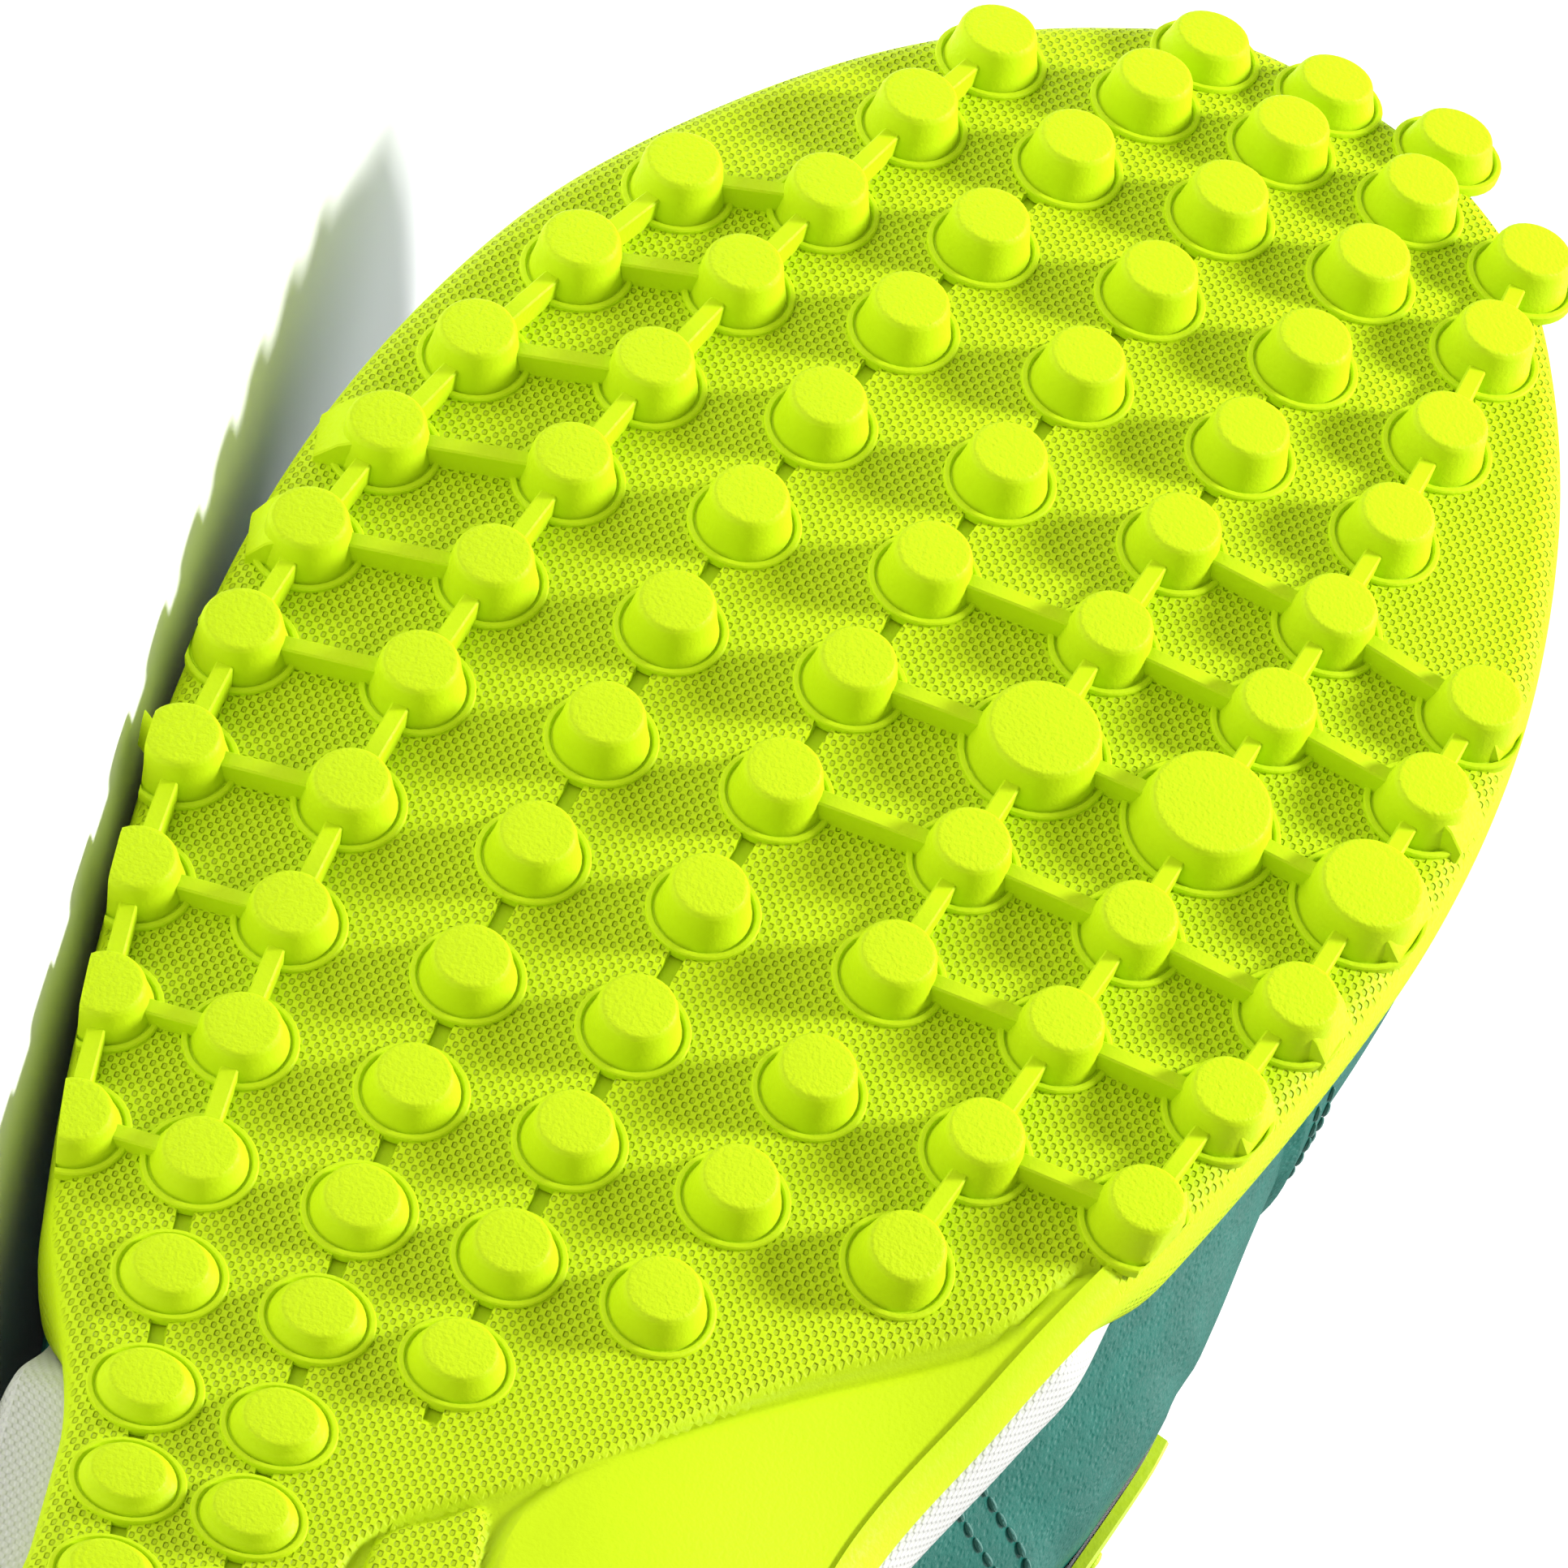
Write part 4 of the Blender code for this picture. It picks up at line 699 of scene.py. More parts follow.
def outsole_side(loop, outward, cut):
    """Side of the outsole: rings that roll over the edge, rise to the rim and go down inside."""
    share_up = rim_share(loop[:, 0], loop[:, 1])
    rim = ground(loop[:, 0], loop[:, 1]) + PLATE + RIM_LIP
    rim = rim + (bed(loop[:, 1]) - 2 * GAP - rim) * share_up
    rings = []
    for turn in np.radians(EDGE_TURNS):
        plan = loop - outward * (cut + EDGE_ROUND * (1 - math.sin(turn)))[:, None]
        height = ground(plan[:, 0], plan[:, 1]) + EDGE_ROUND * (1 - math.cos(turn))
        rings.append(np.column_stack([plan, height]))
    start = rings[-1][:, 2]
    for share in RIM_SHARES:
        lean = RIM_LEAN * share - RIM_BULGE * math.sin(math.pi * share) * share_up
        rings.append(ring_at(loop, outward, cut + lean, start + (rim - start) * share))
    rings.append(ring_at(loop, outward, cut + RIM_LEAN + RIM_BEVEL, rim))
    rings.append(ring_at(loop, outward, cut + RIM_LEAN + RIM_WALL, rim))
    foot = rings[-1][:, :2]
    rings.append(np.column_stack([foot, ground(foot[:, 0], foot[:, 1]) + PLATE]))
    side = np.stack(rings)
    spread = side_layout(side, loop)
    spread[:4] = side[:4]
    wrap = np.zeros(side.shape[:2])
    wrap[:3] = (1 - arch_shares(side[:1, :, :2])[0][0]) * EDGE_TREAD
    wrap[6:10] = -WRAP_TREAD * (share_up > 0.5)
    wrap[:, [0, -1]] = 0.0
    return side, spread, {"tread": wrap, "painted_shade": 0.0}, True


def make_outsole():
    """Closed skin of the outsole.

    The underside is a grid whose rows run across between the rolled edges and whose lines
    follow the stud columns; each flex groove lowers its own lines. The side is a loop round the
    outline, rolled over, up to the rim and down inside the wrap. A plain grid closes the top.
    """
    loop, outward = sole_loop()
    cut = waist_cut(loop[:, 0], loop[:, 1])
    side = outsole_side(loop, outward, cut)
    plan = crossed(side[0][-1], np.linspace(0, 1, OUTSOLE_CAP))
    top = np.dstack([plan, ground(plan[..., 0], plan[..., 1]) + PLATE])
    under = outsole_under(loop - outward * (cut + EDGE_ROUND)[:, None])
    points, faces, marks = joined([under, side, (top, top, {"tread": 0.0, "painted_shade": 0.0}, False)])
    return make_piece("outsole_skin", points, faces, rubber_material(), ("outsole",), marks)


def inside_share(plan, corners, wall):
    """1 inside a smooth closed curve through the corners, 0 outside, with a ramp at its edge.

    The distance to the nearest edge is signed by the crossing rule and then eased.
    """
    curve = curve_through(np.array(corners) * MM, RECESS_SPAN, True)
    flat = plan.reshape(-1, 2)
    near = np.full(len(flat), np.inf)
    odd = np.zeros(len(flat), bool)
    for a, b in zip(curve, np.roll(curve, -1, axis=0)):
        run = b - a
        share = np.clip((flat - a) @ run / (run @ run), 0, 1)
        near = np.minimum(near, np.linalg.norm(flat - a - share[:, None] * run, axis=1))
        spans = (a[1] > flat[:, 1]) != (b[1] > flat[:, 1])
        cross = a[0] + run[0] * (flat[:, 1] - a[1]) / (run[1] if abs(run[1]) > 1e-12 else 1e-12)
        odd ^= spans & (flat[:, 0] < cross)
    signed = np.where(odd, near, -near)
    return ease(-wall, wall, signed).reshape(plan.shape[:2])


def arch_shares(plan):
    """Shares of the arch's recess, of its raised panel and of the waffle leaf beside it."""
    return (inside_share(plan, RECESS, RECESS_WALL), inside_share(plan, ARCH_PANEL, RECESS_WALL),
            inside_share(plan, LEAF, RECESS_WALL))


def make_studs():
    """Studs with the ring round their feet: one profile turned round, repeated over the list.

    The studs of the two edge columns are cut flush with the sole's side.
    """
    studs = stud_list()
    x, y, height, top, foot, squeeze = np.array([s[2:] for s in studs]).T
    profile = np.array(STUD_PROFILE)
    radius = foot[:, None] * profile[:, 0] + top[:, None] * profile[:, 1] + profile[:, 2]
    level = height[:, None] * profile[:, 3] + profile[:, 4]
    turn = 2 * np.pi * np.arange(STUD_SIDES) / STUD_SIDES
    px = x[:, None, None] + radius[..., None] * np.cos(turn)
    py = y[:, None, None] + radius[..., None] * np.sin(turn) * squeeze[:, None, None]
    at_edge = np.array([s[0] in EDGE_COLUMNS for s in studs])[:, None, None]
    outer, inner = edge_at(py)
    px = np.where(at_edge, np.clip(px, inner, outer), px)
    base = np.stack([px, py, ground(px, py)], axis=-1)
    points = base + level[..., None, None] * ground_normals(x, y)[:, None, None, :]
    on_top = (np.arange(len(profile)) >= STUD_TOP_FROM).astype(float)
    tops = np.broadcast_to(on_top[None, :, None], points.shape[:3]).ravel()
    flat = points.reshape(-1, 3)
    return make_piece("studs", flat, repeated(len(studs), len(profile), STUD_SIDES),
                      rubber_material(), (), {"layout": flat, "tread": 0 * tops, "tops": tops},
                      sharp=35.0)


def bars(starts, ends, heights, widths):
    """Bars on the underside, each with a bevelled section and closed ends."""
    starts, ends = np.asarray(starts, float), np.asarray(ends, float)
    heights, widths = np.asarray(heights, float), np.asarray(widths, float)
    stations, ring = len(BAR_STATIONS), len(BAR_ACROSS)
    along = np.array(BAR_STATIONS)[None, :, None]
    path = starts[:, None] + (ends - starts)[:, None] * along
    run = ends - starts
    across = np.stack([-run[:, 1], run[:, 0]], -1)
    across = across / np.linalg.norm(across, axis=1, keepdims=True)
    half = widths[:, :, None] / 2
    offset = np.array(BAR_ACROSS) * half
    offset[..., 2] = BAR_BEVEL - half[..., 0]
    offset[..., 4] = half[..., 0] - BAR_BEVEL
    offset[..., [0, 6]] *= BAR_FOOT
    level = np.empty(offset.shape)
    level[..., [0, 6]] = -ROOT
    level[..., [1, 5]] = (heights - BAR_BEVEL)[..., None]
    level[..., 2:5] = heights[..., None]
    level[..., 1:6] -= np.array(BAR_DROPS)[None, :, None]
    plan = path[:, :, None] + across[:, None, None] * offset[..., None]
    middle = 0.5 * (starts + ends)
    normal = ground_normals(middle[:, 0], middle[:, 1])
    points = np.concatenate([plan, ground(plan[..., 0], plan[..., 1])[..., None]], axis=-1)
    points = points + level[..., None] * normal[:, None, None]
    one = closed_loft(points[0])
    faces = []
    for k in range(len(starts)):
        shift = k * stations * ring
        faces += [[v + shift for v in face] for face in one]
    return points.reshape(-1, 3), faces


def rib_bars():
    """Ribs between studs as starts, ends, heights and widths."""
    studs = {(s[0], s[1]): s for s in stud_list()}
    names = [c[0] for c in STUD_COLUMNS]
    pairs = []
    for column, first, last in COLUMN_RIBS:
        pairs += [((column, row), (column, row + 1)) for row in range(first, last)]
    for row, start, end in ROW_RIBS:
        span = names[names.index(start):names.index(end) + 1]
        pairs += [((a, row), (b, row)) for a, b in zip(span, span[1:])]
    starts, ends, heights = [], [], []
    for one, two in pairs:
        a, b = studs[one], studs[two]
        p, q = np.array(a[2:4]), np.array(b[2:4])
        way = (q - p) / np.linalg.norm(q - p)
        starts.append(p + way * RIB_START * a[5])
        ends.append(q - way * RIB_START * b[5])
        low = min(a[4], b[4])
        heights.append([min(RIB_HEIGHT, RIB_SHARE * low)] * len(BAR_STATIONS))
    widths = np.full((len(starts), len(BAR_STATIONS)), RIB_WIDTH)
    return starts, ends, heights, widths


def fin_bars():
    """Fins from the outermost studs down to the sole's edge, where there is room for them."""
    starts, ends, heights, widths = [], [], [], []
    for name, _, x, y, height, top, foot, _ in stud_list():
        if name not in EDGE_COLUMNS:
            continue
        side = EDGE_COLUMNS.index(name)
        way = 1 - 2 * side
        room = abs(edge_at(y)[side] - x)
        if room > foot + FIN_FAR or room < FIN_NEAR * top + FIN_SHORT:
            continue
        reach = min(room - FIN_SHORT, foot + FIN_REACH)
        starts.append((x + way * 0.5 * top, y))
        ends.append((x + way * reach, y - FIN_SWEEP))
        heights.append([height * share for share in FIN_HEIGHTS])
        widths.append([top * share for share in FIN_WIDTHS])
    return starts, ends, heights, widths


def make_ribs():
    """Flat-topped ribs that join the studs, and fins from the edge studs to the edge."""
    ribs = rib_bars()
    fins = fin_bars()
    points, faces = bars(*[list(a) + list(b) for a, b in zip(ribs, fins)])
    return make_piece("ribs", points, faces, rubber_material(), (),
                      {"layout": points, "tread": np.zeros(len(points))}, sharp=30.0)


def upper_value(key, along):
    """Value of an upper column at a place along."""
    pick = {
        "height": lambda r: r[1] * r[2], "half": lambda r: r[3], "inner": lambda r: r[4],
        "outer": lambda r: r[5], "turn": lambda r: r[6], "stand": lambda r: r[7],
    }[key]
    return table_curve(("upper", key), [(row[0], pick(row)) for row in UPPER], along)


def fan(share, start, end, count):
    """Rays between two directions from one centre, without the two end rays."""
    y = share * LENGTH
    centre = np.array([float(axis_x(y)), y])
    angles = np.arctan2(OUTLINE_POINTS[:, 1] - y, OUTLINE_POINTS[:, 0] - centre[0])
    angles = np.mod(angles + 2 * math.pi, 2 * math.pi)
    reach = np.linalg.norm(OUTLINE_POINTS - centre, axis=1)
    order = np.argsort(angles)
    turns = start + (end - start) * np.arange(1, count) / count
    radius = np.interp(turns, angles[order], reach[order], period=2 * math.pi)
    ways = np.stack([np.cos(turns), np.sin(turns)], -1)
    return np.broadcast_to(centre, ways.shape), centre + radius[:, None] * ways


def make_rays(stations, toe, heel):
    """Rays from the middle line to the outline: (centres, edges, directions, first heel ray)."""
    first, last = HEEL_CENTRE * LENGTH, TOE_CENTRE * LENGTH
    marks = [first, last, VAMP_POINT * LENGTH]
    for share in (COUNTER_END, TOE_CAP_END):
        marks += [share * LENGTH, share * LENGTH + STEP_RUN]
    even = np.linspace(first, last, stations + 1)
    kept = np.array(sorted([y for y in even if min(abs(y - m) for m in marks) > STEP_RUN]
                           + marks))
    outer, inner = edge_at(kept)
    middle = np.stack([axis_x(kept), kept], -1)
    toe_centres, toe_edges = fan(TOE_CENTRE, 0.0, math.pi, toe)
    heel_centres, heel_edges = fan(HEEL_CENTRE, math.pi, 2 * math.pi, heel)
    centres = np.vstack([middle, toe_centres, middle[::-1], heel_centres])
    edges = np.vstack([np.stack([outer, kept], -1), toe_edges,
                       np.stack([inner, kept], -1)[::-1], heel_edges])
    ways = edges - centres
    ways = ways / np.linalg.norm(ways, axis=1, keepdims=True)
    return centres, edges, ways, 2 * len(kept) + toe - 1


def rib_controls(centres, edges, ways, heel_from):
    """Four control points of each rib of the upper: foot, low belly, high belly and top.

    Behind the heel's centre the tops lie on an ellipse round it, so the collar is round there.
    """
    y = centres[:, 1]
    along = y / LENGTH
    foot = edges - FEATHER_INSET * ways
    foot = np.column_stack([foot, bed(edges[:, 1]) + GAP])
    half = upper_value("half", along) * BALL_WIDTH
    gap = np.where(along >= VAMP_POINT, 0.0, half)
    height = bed(y) + upper_value("height", along)
    top = np.column_stack([centres[:, 0] + gap * ways[:, 0], y, height])
    heel = np.arange(len(y)) >= heel_from
    back = y - HEEL_TOP_BACK * LENGTH
    reach = 1 / np.hypot(ways[:, 0] / np.maximum(half, GAP), ways[:, 1] / back)
    spot = centres + reach[:, None] * ways
    behind = np.clip((y - spot[:, 1]) / y, 0.0, 1.0)
    lifted = bed(y) + upper_value("height", along * (1 - behind))
    top = np.where(heel[:, None], np.column_stack([spot, lifted]), top)
    belly = np.where(ways[:, 0] > 0, upper_value("outer", along), upper_value("inner", along))
    belly = (belly * BALL_WIDTH)[:, None]
    outward = np.column_stack([ways, np.zeros(len(y))])
    rise = (top[:, 2] - foot[:, 2])[:, None]
    width = np.linalg.norm((foot - top)[:, :2], axis=1)[:, None]
    up = np.array([[0.0, 0.0, 1.0]])
    turn = upper_value("turn", along)[:, None]
    stand = upper_value("stand", along)[:, None]
    low = foot + outward * belly + up * LOW_CONTROL * rise
    high = top + outward * (turn * width + 0.5 * belly) - up * stand * rise
    return np.stack([foot, low, high, top])


def cubic(control, v):
    """Points of cubic curves with four control points, at shares v."""
    w = 1 - v
    a, b, c, d = control
    return w ** 3 * a + 3 * w * w * v * b + 3 * w * v * v * c + v ** 3 * d


def on_rib(control, levels):
    """Points on all ribs, one row for each share up from the feather line."""
    return cubic(control[:, None], np.asarray(levels, float).reshape(-1, 1, 1))


def rib_normals(control, v, points, ways):
    """Outward unit normals of the upper's surface on a grid of points."""
    around = np.roll(points, -1, axis=1) - np.roll(points, 1, axis=1)
    above = on_rib(control, np.minimum(v + LEVEL_STEP, 1))
    below = on_rib(control, np.maximum(v - LEVEL_STEP, 0))
    normals = np.cross(around, above - below)
    sign = np.sign(normals[..., 0] * ways[:, 0] + normals[..., 1] * ways[:, 1]
                   + UP_PULL * normals[..., 2])
    normals = normals * np.where(sign == 0, 1, sign)[..., None]
    size = np.linalg.norm(normals, axis=-1, keepdims=True)
    return normals / np.maximum(size, 1e-12)


def straight_point(y, side, v, offset):
    """Points beside the upper on ribs straight across; side is 0 outer or 1 inner.

    y and v are arrays of one shape. Returns the points moved off by offset, and the normals.
    """
    shape = np.shape(y)
    y, v = np.ravel(np.asarray(y, float)), np.ravel(np.asarray(v, float))

    def place(along_y, share):
        centres = np.stack([axis_x(along_y), along_y], -1)
        edges = np.stack([edge_at(along_y)[side], along_y], -1)
        ways = np.array([[1.0 - 2.0 * side, 0.0]]) + 0 * centres
        return cubic(rib_controls(centres, edges, ways, len(along_y)), share[:, None])

    around = place(y + SLOPE_STEP, v) - place(y - SLOPE_STEP, v)
    up = place(y, np.minimum(v + LEVEL_STEP, 1)) - place(y, np.maximum(v - LEVEL_STEP, 0))
    normal = np.cross(around, up) * (1 - 2 * side)
    normal = normal / np.linalg.norm(normal, axis=1, keepdims=True)
    offset = np.broadcast_to(offset, shape).ravel() + side * swell(y / LENGTH, v)
    points = place(y, v) + offset[:, None] * normal
    return points.reshape(shape + (3,)), normal.reshape(shape + (3,))


def spot_beside(y, side, v, offset):
    """One point beside the upper and its normal."""
    points, normals = straight_point(np.array([y]), side, np.array([v]), offset)
    return points[0], normals[0]


def level_below_edge(y, side, distance):
    """Share up a rib of the point that lies this far below its top end."""
    shares = np.linspace(1.0, 0.5, EDGE_STEPS)
    points = straight_point(np.full(EDGE_STEPS, y), side, shares, 0.0)[0]
    run = np.concatenate([[0.0], np.cumsum(np.linalg.norm(np.diff(points, axis=0), axis=1))])
    return float(np.interp(distance, run, shares))


def overlay_share(along, v):
    """1 on the toe cap, the heel counter and the eyestay, 0 between them."""
    low = v < OVERLAY_LEVEL
    cap = low & (along > INNER_CAP_END)
    counter = low & (along < COUNTER_END + 0.5 * STEP_RUN / LENGTH)
    throat = (along > COLLAR_FRONT - STAY_MARGIN) & (along < VAMP_POINT + STAY_MARGIN)
    return (cap | counter | throat & (v > STAY_LEVEL)).astype(float)


def crease_depth(along, v):
    """Soft troughs where the forefoot bends, at the listed places: a bell across a leaning line."""
    depth = 0.0
    for place, lean, width, deep, low, high in CREASES:
        line = (along - place - lean * (v - 0.5)) / width
        window = bell((low, low + CREASE_FADE, high - CREASE_FADE, high), v)
        depth = depth + deep * np.exp(-line ** 2) * window
    return depth


# Fullness of the inner side: its depth, and where it begins and ends along and up
SWELL = 4.6 * MM
SWELL_ALONG = (0.40, 0.52, 0.57, 0.67)
SWELL_LEVELS = (0.0, 0.22, 0.45, 0.85)

# Creases. Columns: along at mid height, lean, half width (shares of LENGTH), depth, low, high.
CREASE_FADE = 0.15
CREASES = [
    (0.690, 0.030, 0.0060, 0.55 * MM, 0.30, 1.00),
    (0.715, -0.020, 0.0050, 0.40 * MM, 0.45, 1.05),
    (0.665, 0.060, 0.0050, 0.35 * MM, 0.20, 0.85),
    (0.610, 0.090, 0.0070, 0.40 * MM, 0.05, 0.60),
    (0.560, 0.120, 0.0060, 0.30 * MM, 0.02, 0.45),
    (0.470, -0.100, 0.0080, 0.35 * MM, 0.10, 0.60),
]


def swell(along, v):
    """Fullness of the inner side beside the ball of the foot."""
    return SWELL * bell(SWELL_ALONG, along) * bell(SWELL_LEVELS, v)


def upper_faces(ends, rows, rim_row):
    """Faces of the closed upper; the rim row is left open where opposite ribs meet on the crest."""
    count = len(ends)
    faces = grid_faces(rows, count, True)
    near = np.linalg.norm(ends[:, None, :2] - ends[None, :, :2], axis=2) < CREST_NEAR
    alone = near.sum(axis=1) == 1
    keep = np.ones(len(faces), bool)
    keep[np.arange(count) + rim_row * count] = alone | np.roll(alone, -1)
    here = np.arange(count)
    there = (here + 1) % count
    base = np.stack([(rows - 1) * count + here, (rows - 1) * count + there, there, here], -1)
    return np.vstack([faces[keep], base])


def make_upper():
    """Hollow upper: outer skin with overlays as steps, rolled collar, inner skin.

    Each skin is the grid of ribs and levels, moved along its normals: outwards by the steps and
    the fullness, inwards by the wall and the collar's pad.
    """
    centres, edges, ways, heel_from = make_rays(*RAY_COUNTS)
    control = rib_controls(centres, edges, ways, heel_from)
    outer_v, inner_v = [np.concatenate([np.linspace(*span) for span in spans])
                        for spans in (OUTER_LEVELS, INNER_LEVELS)]
    along = edges[:, 1][None, :] / LENGTH
    outer = on_rib(control, outer_v)
    normals = rib_normals(control, outer_v, outer, ways)
    inner = on_rib(control, inner_v)
    inner_normals = rib_normals(control, inner_v, inner, ways)
    crest_up(outer[-1], normals[-1])
    crest_up(inner[0], inner_normals[0])
    v = outer_v[:, None] + 0 * along
    outer = outer + normals * (swell(along, v) * (ways[:, 0] < 0))[..., None]
    step = OVERLAY_STEP * overlay_share(along + 0 * v, v)
    step = step - looks().crease_strength * crease_depth(along, v)
    roll = COLLAR_ROLL * (v > 0.99) * (along < VAMP_POINT)
    outer = outer + normals * (step - roll)[..., None]
    middle_along = centres[:, 1][None, :] / LENGTH
    pad = COLLAR_PAD * (1 - ease(*PAD_ALONG, middle_along)) * ease(*PAD_LEVELS, inner_v[:, None])
    inner = inner - inner_normals * (WALL + pad)[..., None]
    outer[0, :, 2] = inner[-1, :, 2] = bed(edges[:, 1]) + GAP
    points = np.concatenate([outer, inner])
    faces = upper_faces(on_rib(control, [1.0])[0], len(points), len(outer_v) - 1)
    lining = np.repeat([0.0, 1.0], [len(outer_v) * len(edges), len(inner_v) * len(edges)])
    flat = points.reshape(-1, 3)
    return make_piece("upper_skin", flat, faces, leather_material(), ("upper",),
                      {"layout": flat, "lining": lining}, sharp=35.0)


def crest_up(points, normals):
    """Gives points that meet on the crest one shared upward normal."""
    near = np.linalg.norm(points[:, None] - points[None], axis=2) < CREST_NEAR
    many = near.sum(axis=1) > 1
    signed = normals * np.where(normals[:, 2:3] < 0, -1, 1)
    shared = near[many].astype(float) @ signed
    shared[:, 0] = 0
    size = np.linalg.norm(shared, axis=1, keepdims=True)
    normals[many] = np.where(size > 1e-9, shared / np.maximum(size, 1e-9), (0.0, 0.0, 1.0))


def make_midsole():
    """Foam midsole: rings from its foot in the rubber up to the bed, closed by two plain grids.

    Where the rubber wraps up, the foam stands inside it. Elsewhere its side bulges softly and
    has a bevel under the upper.
    """
    loop, outward = sole_loop()
    cut = waist_cut(loop[:, 0], loop[:, 1])
    share_up = rim_share(loop[:, 0], loop[:, 1])
    bare = 1 - share_up
    low = ground(loop[:, 0], loop[:, 1]) + PLATE + RIM_LIP
    shelf = low + (bed(loop[:, 1]) - 2 * GAP - low) * share_up + GAP
    top = bed(loop[:, 1])
    low_inset = cut + RIM_LEAN + RIM_WALL + GAP
    high_inset = (RIM_LEAN + RIM_WALL - GAP) * share_up
    foot = loop - outward * low_inset[:, None]
    rings = [np.column_stack([foot, ground(foot[:, 0], foot[:, 1]) + PLATE + 2 * GAP]),
             ring_at(loop, outward, low_inset, shelf),
             ring_at(loop, outward, high_inset + FOAM_LEDGE * bare, shelf)]
    for share, bulge in FOAM_BULGE:
        rings.append(ring_at(loop, outward, high_inset - FOAM_BELLY * bulge * bare,
                             shelf + (top - FOAM_SHOULDER * bare - shelf) * share))
    for inset, gaps, drop in FOAM_BEVEL:
        rings.append(ring_at(loop, outward, high_inset + inset * bare + gaps * GAP,
                             top - drop * bare))
    side = np.stack(rings)
    emboss = np.zeros(side.shape[:2])
    emboss[2:8, 1:-1] = 1.0
    across = np.linspace(0, 1, MIDSOLE_CAP)
    plan = crossed(rings[0], across)
    under = np.dstack([plan, ground(plan[..., 0], plan[..., 1]) + PLATE + 2 * GAP])
    plan = crossed(rings[-1], across)
    over = np.dstack([plan, bed(plan[..., 1])])
    points, faces, marks = joined([(side, side_layout(side, loop), {"emboss": emboss}, True),
                                   (under, under, {"emboss": 0.0}, False),
                                   (over, over, {"emboss": 0.0}, False)])
    return make_piece("midsole_skin", points, faces, foam_material(), ("midsole",), marks)


def make_insole():
    """Insole: rings of a soft edge on the foot bed, closed by two plain grids."""
    loop, outward = sole_loop()
    inside = FEATHER_INSET + WALL + 2 * GAP
    across = np.linspace(0, 1, INSOLE_CAP)
    rings = []
    for inset, share in INSOLE_EDGE:
        plan = loop - outward * (inside + inset)
        rings.append(np.column_stack([plan, bed(plan[:, 1]) + GAP + share * INSOLE_THICKNESS]))
    side = np.stack(rings)
    parts = [(side, side, {}, True)]
    for ring, share in ((rings[0], 0.0), (rings[-1], 1.0)):
        plan = crossed(ring, across)
        cap = np.dstack([plan, bed(plan[..., 1]) + GAP + share * INSOLE_THICKNESS])
        parts.append((cap, cap, {}, False))
    points, faces, marks = joined(parts)
    return make_piece("insole_skin", points, faces, lining_material(), ("insole",), marks)


def closed_loft(sections):
    """Faces of a closed solid through sections of equal count, with both ends capped."""
    rows, count = len(sections), len(sections[0])
    faces = grid_faces(rows, count, True).tolist()
    return faces + [list(range(count))[::-1], [(rows - 1) * count + k for k in range(count)]]


# Side panel. Columns: along, share up the rib of its lower and of its upper edge.
PANEL = [
    (0.175, 0.50, 0.62),
    (0.220, 0.42, 0.72),
    (0.290, 0.38, 0.77),
    (0.360, 0.355, 0.78),
    (0.420, 0.335, 0.78),
    (0.465, 0.315, 0.77),
    (0.510, 0.300, 0.70),
    (0.550, 0.290, 0.52),
    (0.585, 0.300, 0.34),
]
PANEL_GAP = 0.5 * MM
PANEL_THICKNESS = 1.0 * MM
PANEL_STATIONS = 90
PANEL_LINES = 24
PANEL_THIN = 0.75
PANEL_UNDER = 0.6


def make_panel():
    """Lime panel on the inner quarter: a sheet over the upper, thinner at its cut edge."""
    along = np.linspace(PANEL[0][0], PANEL[-1][0], PANEL_STATIONS)
    low = table_curve("panel low", [(r[0], r[1]) for r in PANEL], along)
    high = table_curve("panel high", [(r[0], r[2]) for r in PANEL], along)
    shares = np.linspace(0, 1, PANEL_LINES)
    v = low[:, None] + (high - low)[:, None] * shares
    y = along[:, None] * LENGTH + 0 * v
    edge = np.minimum(shares, 1 - shares) * PANEL_LINES / 2
    thick = PANEL_THICKNESS * (PANEL_THIN + (1 - PANEL_THIN) * ease(0.0, 1.0, edge)) + 0 * v
    inside = straight_point(y, 1, v, PANEL_UNDER * PANEL_GAP)[0]
    outside = straight_point(y, 1, v, PANEL_GAP + thick)[0]
    sections = np.concatenate([inside, outside[:, ::-1]], axis=1)
    points = sections.reshape(-1, 3)
    return make_piece("side_panel_skin", points, closed_loft(sections), panel_material(),
                      ("side_panel",), {"layout": points}, sharp=50.0)


